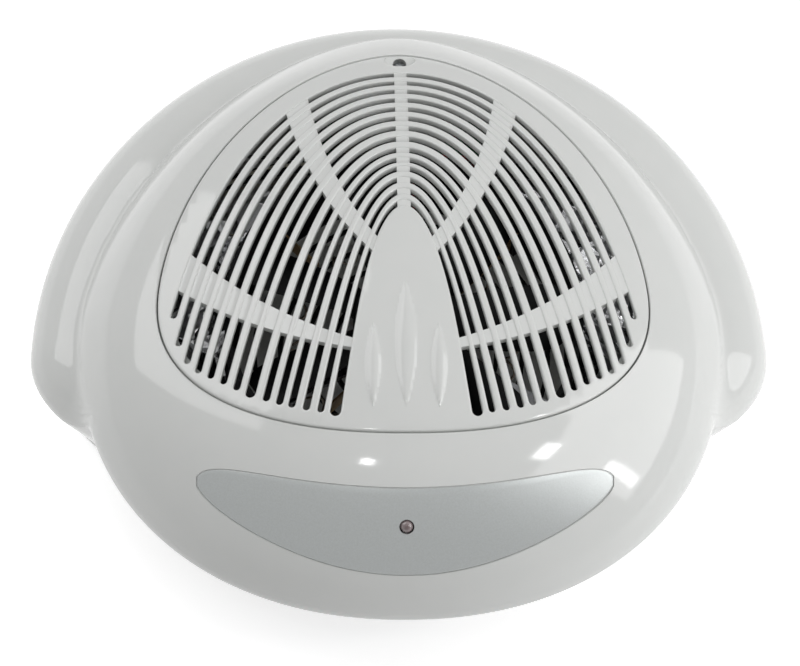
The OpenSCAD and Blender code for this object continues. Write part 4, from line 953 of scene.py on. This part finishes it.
def post(x, y, low, high, r):
    """A hollow screw post that hangs inside the cover."""
    bore_r, bore_top = 1.3, low + 12
    return lathe([(0, high), (r, high), (r + 0.4, low + 8), (r, low), (bore_r, low), (bore_r, bore_top),
                  (0, bore_top)], 24, at(x, y))


def drill(r, low, high, sides=48, place=on_brow):
    """A round cutter between two heights."""
    return lathe([(0, low), (r, low), (r, high), (0, high)], sides, place)


turns = [math.tau * i / 288 for i in range(288)]
sections = [cover_section(turn) for turn in turns]
cover_points = [(*spot(turn, r), z) for turn, section in zip(turns, sections) for r, z in section]
top_cover = make_piece("white_cover", cover_points, loft(sections, True), white_abs)
SCREW_Y = 94.2
grille_seat = dome(0, SCREW_Y) - 2
boss_bottom = grille_seat - 6.2
back = Matrix.Rotation(-math.pi / 2, 4, "X")
cut(top_cover, [label_shape((0.3, -3), (0.3, 0.5))])
# Holes for the indicator, the cord's bush and the switch, then the flat landings round the last two.
CORD_Z, LANDING_Y = 16, 131.2
cut(top_cover, [drill(2.8, -6, 6), drill(5.1, -6, 6, 48, at(0, 132, CORD_Z) @ back),
                block((-10.2, 125, 25.8), (10.2, 139, 38.2))])
cut(top_cover, [drill(7.3, 0, 12, 64, at(0, LANDING_Y, CORD_Z) @ back),
                block((-11.8, LANDING_Y, 24.3), (11.8, 143, 39.7))])
post_sizes = [(*place, TRAY_TOP, 4.5) for place in CASE_POSTS] + [(*place, 58.5, 4) for place in DUCT_POSTS]
posts = [post(x, y, low, hood_at(x * 1.02, y, WALL) + 0.3, r) for x, y, low, r in both_sides(*post_sizes)]
posts.append(post(0, SCREW_Y, boss_bottom - 13, boss_bottom - 0.2, 5.5))
posts += [lathe([(0, -1.2), (2.6, -1.2), (2.6, -9), (0.9, -9), (0.9, -3), (0, -3)], 24, on_brow @ at(x, 0))
          for x in (-9, 9)]
post_set = make_piece("cover_posts", *joined(*posts), white_abs)
for piece in (top_cover, post_set):
    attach(piece, "dryer_body")
    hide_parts("top_cover")

# ---- The intake grille
# The real grille is one moulding in the same white ABS, 3.5 mm thick, that drops into the opening: nested
# arches of rib and slot, two bowed bands on each side that tie them, and a plain tongue in the middle.
# The bands lie a little lower than the ribs, so the ribs pass over them.

SLOTS = 14
RIB_ROUND = 0.9
ROUND_END = 68
GRILLE_DEPTH = 3.5
CLEARANCE = 0.5


def band(a, b, c, from_width, to_width):
    """The outline of a band along a bowed line, as wide as from_width at its outer end."""
    left, right = [], []
    for k in range(25):
        u = k / 24
        x, y = bent(a, b, c, u)
        dx, dy = ((b[i] - a[i]) * (1 - u) + (c[i] - b[i]) * u for i in (0, 1))
        half = (from_width + (to_width - from_width) * u) / 2 / math.hypot(dx, dy)
        left.append((x - dy * half, y + dx * half))
        right.append((x + dy * half, y - dx * half))
    return left + right[::-1]


BANDS = [band((42, 74), (32.5, 18), (8, -8), 10, 5), band((94, 3), (60, -36.5), (12, -46.5), 16, 2.5)]


def within(outline, x, y):
    """Whether a place lies inside an outline."""
    inside = False
    for (x0, y0), (x1, y1) in zip(outline, outline[1:] + outline[:1]):
        if (y0 > y) != (y1 > y) and x < (x1 - x0) * (y - y0) / (y1 - y0) + x0:
            inside = not inside
    return inside


def on_band(x, y):
    """Whether a place lies on a band, or on the spine that runs back from the tongue."""
    return y > 0 and abs(x) < 2.5 or any(within(outline, abs(x), y) for outline in BANDS)


ARCH_OUTER, ARCH_INNER = 94.6, 7.6
FIRST_TOP, TOPS_APART = 85, 71.4
SLOT_HALF = 1.25


def arch(f, extra, s):
    """A point on an arch. f goes from 0 at the outermost slot to 1 at the innermost, and s from -1 at the
    left foot over the top at 0 to 1 at the right foot. `extra` moves the legs out sideways."""
    inside = max(1 - f, 0)
    top, opening = FIRST_TOP - TOPS_APART * f, ARCH_INNER + (ARCH_OUTER - ARCH_INNER) * inside ** 1.46
    length = top + 75.5
    d = length * s * s
    spread = opening - 0.325 * inside ** 1.53 * d + 0.0006 * inside ** 0.45 * d * d
    x = s * math.sqrt(length * max(spread, 0))
    return x + math.copysign(1, s) * extra * smooth_step(d / (80 if f > 0.95 else 50)), top - d


def border_left(x, y):
    """How far inside the grille's outline a place lies."""
    turn = math.atan2(y - WAIST_Y, x)
    step = 0.02
    r = grille_reach(turn)
    along = math.dist(spot(turn, r), spot(turn + step, grille_reach(turn + step)))
    return (r - math.hypot(x, y - WAIST_Y)) * r * step / along


def crossings(f, extra, foot):
    """Where the bands cross one edge of a slot, between its top and its foot."""
    steps, marks = 260, []
    was = on_band(*arch(f, extra, 0))
    for k in range(1, steps + 1):
        start, stop = foot * (k - 1) / steps, foot * k / steps
        now = on_band(*arch(f, extra, stop))
        if now != was:
            marks.append(turning_point(start, stop, lambda s: on_band(*arch(f, extra, s))))
        was = now
    return marks


def slot_stretches(i):
    """A slot as stretches of matched points on its outer and inner edge, from the left foot to the right,
    each open or crossed by a band. The slots near number 8 sit a little nearer the middle, and slots 7 and
    13 have wider legs."""
    f, half = i / (SLOTS - 1) + 0.013 * math.exp(-((i - 8) / 1.2) ** 2), SLOT_HALF / TOPS_APART
    if i > 9:
        f -= 0.007
    wider_out, wider_in = {7: (0.9, 0.4), 13: (0.4, 1.4)}.get(i, (0.05, 0.05))
    plain_rim = 5.8 - 2.7 * math.exp(-((i - 2.2) / 1.8) ** 2)
    foot = turning_point(0.5, 1, lambda s: border_left(*arch(f, 0, s)) < plain_rim + 1.2)
    x, y = arch(f, 0, foot)
    ahead_x, ahead_y = (b - a for a, b in zip(arch(f, 0, foot - 0.002), (x, y)))

    def foot_of(g, more):
        return turning_point(foot - 0.1, min(foot + 0.1, 1.05), lambda s: sum(
            (p - q) * d for p, q, d in zip(arch(g, more, s), (x, y), (ahead_x, ahead_y))) > 0)

    sides, edges = ((f - half, wider_out), (f + half, -wider_in)), []
    for g, more in sides:
        end = foot_of(g, more)
        edges.append([0] + crossings(g, more, end) + [end])
    count = min(len(edge) for edge in edges)
    edges = [edge[:count - 1] + edge[-1:] for edge in edges]
    stretches = []
    for k in range(count - 1):
        n = max(3, math.ceil(math.dist(*(arch(*sides[0], s) for s in edges[0][k:k + 2])) / 2.2))
        rows = [[arch(*side, edge[k] + (edge[k + 1] - edge[k]) * j / n) for j in range(n + 1)]
                for side, edge in zip(sides, edges)]
        stretches.append((rows, k % 2 == 1))
    mirrored = [([[(-x, y) for x, y in row[::-1]] for row in rows], is_open)
                for rows, is_open in stretches[::-1]]
    middle = [a + b[1:] for a, b in zip(mirrored[-1][0], stretches[0][0])]
    return mirrored[:-1] + [(middle, False)] + stretches[1:]


def signed_area(loop):
    """Twice the area of a loop, less than 0 where it runs clockwise."""
    return sum(a[0] * b[1] - b[0] * a[1] for a, b in zip(loop, loop[1:] + loop[:1]))


def pushed(loop, gap):
    """A loop moved outwards in plan by a gap."""
    sign = 1 if signed_area(loop) > 0 else -1
    moved = []
    for before, here, after in zip(loop[-1:] + loop[:-1], loop, loop[1:] + loop[:1]):
        dx, dy = after[0] - before[0], after[1] - before[1]
        size = math.hypot(dx, dy) or 1
        moved.append((here[0] + sign * dy / size * gap, here[1] - sign * dx / size * gap))
    return moved


RIDGES = [(0, -45, 50, 8.6), (12, -53.5, 32, 6), (-12, -53.5, 32, 6)]


def ridge_half(length, width, along):
    """Half the width of a pointed ridge, `along` from its middle."""
    r = (length * length + width * width) / (4 * width)
    return max(0, width / 2 - r + math.sqrt(max(r * r - along * along, 0)))


def ridge_rise(x, y):
    """How far the tongue's ridges stand up at a place."""
    for cx, cy, length, width in RIDGES:
        half = ridge_half(length, width, y - cy)
        if half > 0 and abs(x - cx) < half:
            return min(1, 2 * half / width) ** 0.6 * (1 - ((x - cx) / half) ** 2)
    return 0


class Surface:
    """Points and faces of the grille while it is being made."""

    def __init__(self):
        self.points, self.faces = [], []

    def put(self, loop, drop):
        """Adds a loop of plan places at a depth under the dome, and gives its point numbers."""
        start = len(self.points)
        self.points += [(x, y, dome(x, y) - drop) for x, y in loop]
        return list(range(start, len(self.points)))

    def strips(self, *loops):
        """Joins loops of the same size, each to the next."""
        for upper, lower in zip(loops, loops[1:]):
            self.faces += [(upper[k - 1], upper[k], lower[k], lower[k - 1]) for k in range(len(upper))]

    def sheet(self, borders, spacing, drop, rise=None, creases=()):
        """A sheet at a depth under the dome, inside the first border and outside the others. A border is a
        loop with its point numbers."""
        flat, names, edges, outlines = [], [], [], []
        for loop, numbers in borders:
            order = list(range(len(flat), len(flat) + len(loop)))
            outlines.append(order if signed_area(loop) > 0 else order[::-1])
            flat += loop
            names += numbers
        for crease in creases:
            edges += [(len(flat) + k, len(flat) + (k + 1) % len(crease)) for k in range(len(crease))]
            flat += crease
        xs, ys = zip(*borders[0][0])
        y = min(ys)
        while y < max(ys):
            x = min(xs) + 0.37 * spacing
            while x < max(xs):
                flat.append((x, y))
                x += spacing
            y += spacing
        if rise:
            flat += [(cx + x * 0.9, cy + y * 1.2) for cx, cy, _, _ in RIDGES
                     for x in range(-5, 6) for y in range(-21, 22)]
        places, faces, sources = triangles(flat, edges, outlines)
        number = {}
        for face in faces:
            for v in face:
                known = [names[s] for s in sources[v] if s < len(names)]
                if known:
                    number[v] = known[0]
                elif v not in number:
                    x, y = places[v]
                    number[v] = len(self.points)
                    self.points.append((x, y, dome(x, y) - drop + (rise(x, y) if rise else 0)))
            self.faces.append(tuple(number[v] for v in face))


def round_end(a, b):
    """A round end from a to b that bulges away from the slot, down the grille."""
    cx, cy = (a[0] + b[0]) / 2, (a[1] + b[1]) / 2
    start = math.atan2(a[1] - cy, a[0] - cx)
    side = 180 if math.cos(start) < 0 else -180
    return [on_circle(math.dist(a, b) / 2, math.degrees(start) + side * k / 8, cx, cy) for k in range(1, 8)]


shape = Surface()
outline = smooth_outline(grille_reach, 240)
rim = [(pushed(outline, -CLEARANCE - soft), drop)
       for soft, drop in ((0.6, 0), (0.3, 0.08), (0.08, 0.3), (0, 0.6), (0, GRILLE_DEPTH))]
rims = [shape.put(*step) for step in rim]
shape.strips(*rims)
above, below = [(rim[0][0], rims[0])], [(rim[-1][0], rims[-1])]
rib_round = [on_circle(RIB_ROUND, a) for a in (0, 17, 34, 51, ROUND_END)]
rib_edge = [(RIB_ROUND - out, RIB_ROUND - up) for up, out in rib_round]

for i in range(SLOTS):
    stretches = slot_stretches(i)
    outer, inner, starts = [], [], []
    for (outer_row, inner_row), _ in stretches:
        starts.append(len(outer))
        outer += outer_row[:-1]
        inner += inner_row[:-1]
    outer.append(stretches[-1][0][0][-1])
    inner.append(stretches[-1][0][1][-1])
    starts.append(len(outer) - 1)
    right_end, left_end = round_end(outer[-1], inner[-1]), round_end(inner[0], outer[0])
    loop = outer + right_end + inner[::-1] + left_end
    rings = [shape.put(pushed(loop, gap), drop) for gap, drop in rib_edge]
    shape.strips(*rings)
    above.append((pushed(loop, rib_edge[0][0]), rings[0]))
    floor, n = rings[-1], len(outer)
    open_wall, open_foot = shape.put(loop, RIB_ROUND), shape.put(loop, GRILLE_DEPTH)
    right_at = list(range(n, n + len(right_end)))
    inner_at = [2 * n + len(right_end) - 1 - k for k in range(n)]
    left_at = list(range(len(loop) - len(left_end), len(loop)))
    for (_, is_open), a, b in zip(stretches, starts, starts[1:]):
        around = list(range(a, b + 1))
        right, left = right_at if b == n - 1 else [], left_at if a == 0 else []
        if is_open:
            ring = around + right + [inner_at[k] for k in around[::-1]] + left
            wall, foot = [open_wall[k] for k in ring], [open_foot[k] for k in ring]
            shape.strips([floor[k] for k in ring], wall, foot)
            below.append(([loop[k] for k in ring], foot))
            continue
        floors = [(k, k + 1, inner_at[k + 1], inner_at[k]) for k in around[:-1]]
        if right:
            floors.append([b] + right + [inner_at[b]])
        if left:
            floors.append([inner_at[a]] + left + [a])
        shape.faces += [tuple(floor[k] for k in face) for face in floors]

creases = []
for cx, cy, length, width in RIDGES:
    side = [(ridge_half(length, width, length / 2 * k / 12), length / 2 * k / 12) for k in range(-12, 13)]
    creases.append([(cx + x, cy + y) for x, y in side] + [(cx - x, cy + y) for x, y in side[-2:0:-1]])
# The grille's one screw stands in a half-round scoop whose level floor runs out at the back of the slope.
HEAD_SPACE_R = 2.75
scoop = [(x, 95.4 + y * 4.4 / 6.3) for x, y in (on_circle(6.3, t) for t in range(-180, 1, 10))]
scoop += [(6.1, 96.6), (5.3, 97.3), (0, 97.5), (-5.3, 97.3), (-6.1, 96.6)]
scoop_rings = [(pushed(scoop, 0.3), 0), (pushed(scoop, 0.09), 0.05), (scoop, 0.15)]
scoop_numbers = [shape.put(*step) for step in scoop_rings]
above.append((scoop_rings[0][0], scoop_numbers[0]))
bore = [on_circle(HEAD_SPACE_R, t, 0, SCREW_Y) for t in range(0, 360, 10)]
floor_at, bore_at = len(shape.points), len(shape.points) + len(scoop)
shape.points += lifted_to(grille_seat, scoop + bore)
shape.strips(*scoop_numbers, list(range(floor_at, bore_at)))
_, faces, sources = triangles(scoop + bore, [], [list(range(len(scoop))),
                                                 list(range(len(scoop), len(scoop + bore)))])
shape.faces += [tuple(floor_at + sources[v][0] for v in face) for face in faces]
bore_foot = shape.put(bore, GRILLE_DEPTH)
shape.strips(list(range(bore_at, bore_at + len(bore))), bore_foot)
below.append((bore, bore_foot))
shape.sheet(above, 3, 0, ridge_rise, creases)
shape.sheet(below, 6, GRILLE_DEPTH)
grille = make_piece("white_grille", shape.points, shape.faces, white_abs, 50)
neck = grille_seat - GRILLE_DEPTH
boss = [(HEAD_SPACE_R, grille_seat - 0.1), (HEAD_SPACE_R, neck), (1.7, neck), (1.7, boss_bottom),
        (4.3, boss_bottom), (4.3, grille_seat - 0.6), (HEAD_SPACE_R, grille_seat - 0.1)]
hooks = [block((x - 4, y, 96.7), (x + 4, y + depth, high))
         for x in (-18, 18) for y, depth, high in ((-71, 1.8, 102.7), (-74.4, 4, 98.5))]
fixings = joined(lathe(boss, 36, at(0, SCREW_Y)), *hooks)
grille_fixings = make_piece("grille_boss_and_hooks", *fixings, white_abs)
for piece in (grille, grille_fixings):
    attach(piece, "dryer_body")
    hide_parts("intake_grille")
screws("grille_pan_screw", "grille_screw", [(0, SCREW_Y, neck)], UP, *SCREW, 12)

# ---- The indicator
# A 5 mm light-emitting diode in hazy pink epoxy behind a hole in the brow. Its dark red die shows as a
# small square in the middle under the domed end.

lens, tree = new_material("pink_epoxy_lens")
place = add(tree, "ShaderNodeTexCoord").outputs["Object"]
from_lens = add(tree, "ShaderNodeMapping", {"Vector": place, "Location": -on_brow.translation * MM})
out = add(tree, "ShaderNodeVectorMath", {0: from_lens.outputs["Vector"]}, operation="LENGTH").outputs["Value"]
die = add(tree, "ShaderNodeMapRange", {"Value": out, "From Min": 0.5 * MM, "From Max": 1.5 * MM})
haze = add(tree, "ShaderNodeTexNoise", {"Vector": place, "Scale": 1 / (1.5 * MM), "Detail": 3}).outputs["Fac"]
body = add(tree, "ShaderNodeMix", {"Factor": haze, "A": linear("#948687"), "B": linear("#7A6C6D")},
           data_type="RGBA")
tint = add(tree, "ShaderNodeMix", {
    "Factor": die.outputs["Result"], "A": linear("#4A2B2C"), "B": body.outputs["Result"]}, data_type="RGBA")
shader = add(tree, "ShaderNodeBsdfPrincipled", {
    "Base Color": tint.outputs["Result"], "Roughness": 0.12, "IOR": 1.54, "Coat Weight": 0.6,
    "Coat Roughness": 0.03})
add(tree, "ShaderNodeOutputMaterial", {"Surface": shader.outputs["BSDF"]})
LENS_R, BOARD_BELOW = 2.45, -10.6
profile = [(0, -5.2), (2.9, -5.2), (2.9, -4.2), (LENS_R, -4.2)]
lens_end = [on_circle(LENS_R, a) for a in range(0, 90, 10)]
profile += [(x, -1.6 + y * 2.3 / LENS_R) for x, y in lens_end] + [(0, 0.7)]
legs = [drill(0.25, BOARD_BELOW, -5, 12, on_brow @ at(x, 0)) for x in (-1.27, 1.27)]
indicator = make_piece("indicator_lens", *joined(lathe(profile, 48, on_brow), *legs), lens, 40)
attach(indicator, "dryer_body")
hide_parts("indicator_led")
lens_board_seats = [tuple(on_brow @ Vector((x, 0, BOARD_BELOW))) for x in (-9, 9)]
screws("indicator_board_screws", "led_board_screws", lens_board_seats, tuple(on_brow.to_3x3() @ Vector(DOWN)),
       1.8, 1.2, 0.85, 6)

# ---- The panel label
# A die-cut label of satin silver polyester film, 0.45 mm thick, stuck in a shallow recess in the brow. Fine
# metal flake in its lacquer gives it a soft sparkle.

# Real flake is a few hundredths of a millimetre across, too fine to show, so it is drawn 0.6 mm across.
silver, tree = new_material("silver_polyester_film")
place = add(tree, "ShaderNodeTexCoord").outputs["Object"]
flake = add(tree, "ShaderNodeTexNoise", {
    "Vector": place, "Scale": 1 / (0.6 * MM), "Detail": 2}).outputs["Fac"]
tint = add(tree, "ShaderNodeMix", {"Factor": flake, "A": linear("#9FA1A0"), "B": linear("#AEB2B2")},
           data_type="RGBA")
bump = add(tree, "ShaderNodeBump", {"Height": flake, "Distance": 0.02 * MM, "Strength": 1})
gloss = add(tree, "ShaderNodeMapRange", {"Value": flake, "To Min": 0.32, "To Max": 0.42})
shader = add(tree, "ShaderNodeBsdfPrincipled", {
    "Base Color": tint.outputs["Result"], "Roughness": gloss.outputs["Result"], "Metallic": 0.65,
    "Normal": bump.outputs["Normal"]})
add(tree, "ShaderNodeOutputMaterial", {"Surface": shader.outputs["BSDF"]})
film = label_shape((-0.3, 0.03), (-0.1, 0.08), (0, 0.25), (0, 0.47))
label = make_piece("silver_label_sheet", *film, silver, 50)
cut(label, [drill(2.7, -6, 6)], 50)
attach(label, "dryer_body")
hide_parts("panel_label")

# ---- The table and the light
# A plain white table in a pale room. Two broad soft lights stand to the left behind and to the right, and
# three small ones make the highlights of a window, a bulb and a tall window on the gloss.


def seen_directly(tree):
    """1 for rays from the camera, and for those that metal or glass sends on, so that they meet white."""
    path = add(tree, "ShaderNodeLightPath").outputs
    seen = path["Is Camera Ray"]
    for kind in ("Is Glossy Ray", "Is Transmission Ray"):
        seen = add(tree, "ShaderNodeMath", {0: seen, 1: path[kind]}, operation="MAXIMUM").outputs["Value"]
    return seen


table_paint, tree = new_material("table_paint")
paint = add(tree, "ShaderNodeBsdfDiffuse", {"Color": linear("#F2F2F2")})
white = add(tree, "ShaderNodeEmission", {"Color": (0.6, 0.6, 0.6, 1), "Strength": seen_directly(tree)})
both = add(tree, "ShaderNodeAddShader", {0: paint.outputs["BSDF"], 1: white.outputs["Emission"]})
add(tree, "ShaderNodeOutputMaterial", {"Surface": both.outputs["Shader"]})
TABLE_HALF, TABLE_Z = 3000, -0.2
table_corners = [(x * TABLE_HALF, y * TABLE_HALF, TABLE_Z) for x, y in ((-1, -1), (1, -1), (1, 1), (-1, 1))]
table = make_piece("table", table_corners, [(0, 1, 2, 3)], table_paint)

room = bpy.data.worlds.new("room")
scene.world = room
room.use_nodes = True
room.node_tree.nodes.clear()
strength = add(room.node_tree, "ShaderNodeMapRange", {
    "Value": seen_directly(room.node_tree), "To Min": 0.3, "To Max": 1})
sky = add(room.node_tree, "ShaderNodeBackground", {
    "Color": linear("#FFFFFF"), "Strength": strength.outputs["Result"]})
add(room.node_tree, "ShaderNodeOutputWorld", {"Surface": sky.outputs["Background"]})


def lamp(name, direction, distance, watts, width, depth=None):
    """A soft box in millimetres, that shines on the middle of the dryer from a direction."""
    light = bpy.data.lights.new(name, "AREA")
    light.shape, light.size, light.size_y = "RECTANGLE", width * MM, (depth or width) * MM
    light.energy = watts
    holder = bpy.data.objects.new(name, light)
    scene.collection.objects.link(holder)
    way = Vector(direction).normalized()
    holder.location = (Vector((0, -40, 80)) + way * distance) * MM
    holder.rotation_mode = "QUATERNION"
    holder.rotation_quaternion = way.to_track_quat("Z", "Y")


lamp("left_and_back", (-0.6, 0.4, 0.7), 1100, 5, 900)
lamp("right", (0.85, -0.1, 0.5), 1100, 6, 900)
lamp("window", (0.56, -0.23, 0.8), 1300, 0.8, 150, 110)
lamp("bulb", (-0.12, -0.29, 0.95), 1300, 0.3, 60)
lamp("tall_window", (0.86, -0.36, 0.32), 1300, 0.9, 90, 420)
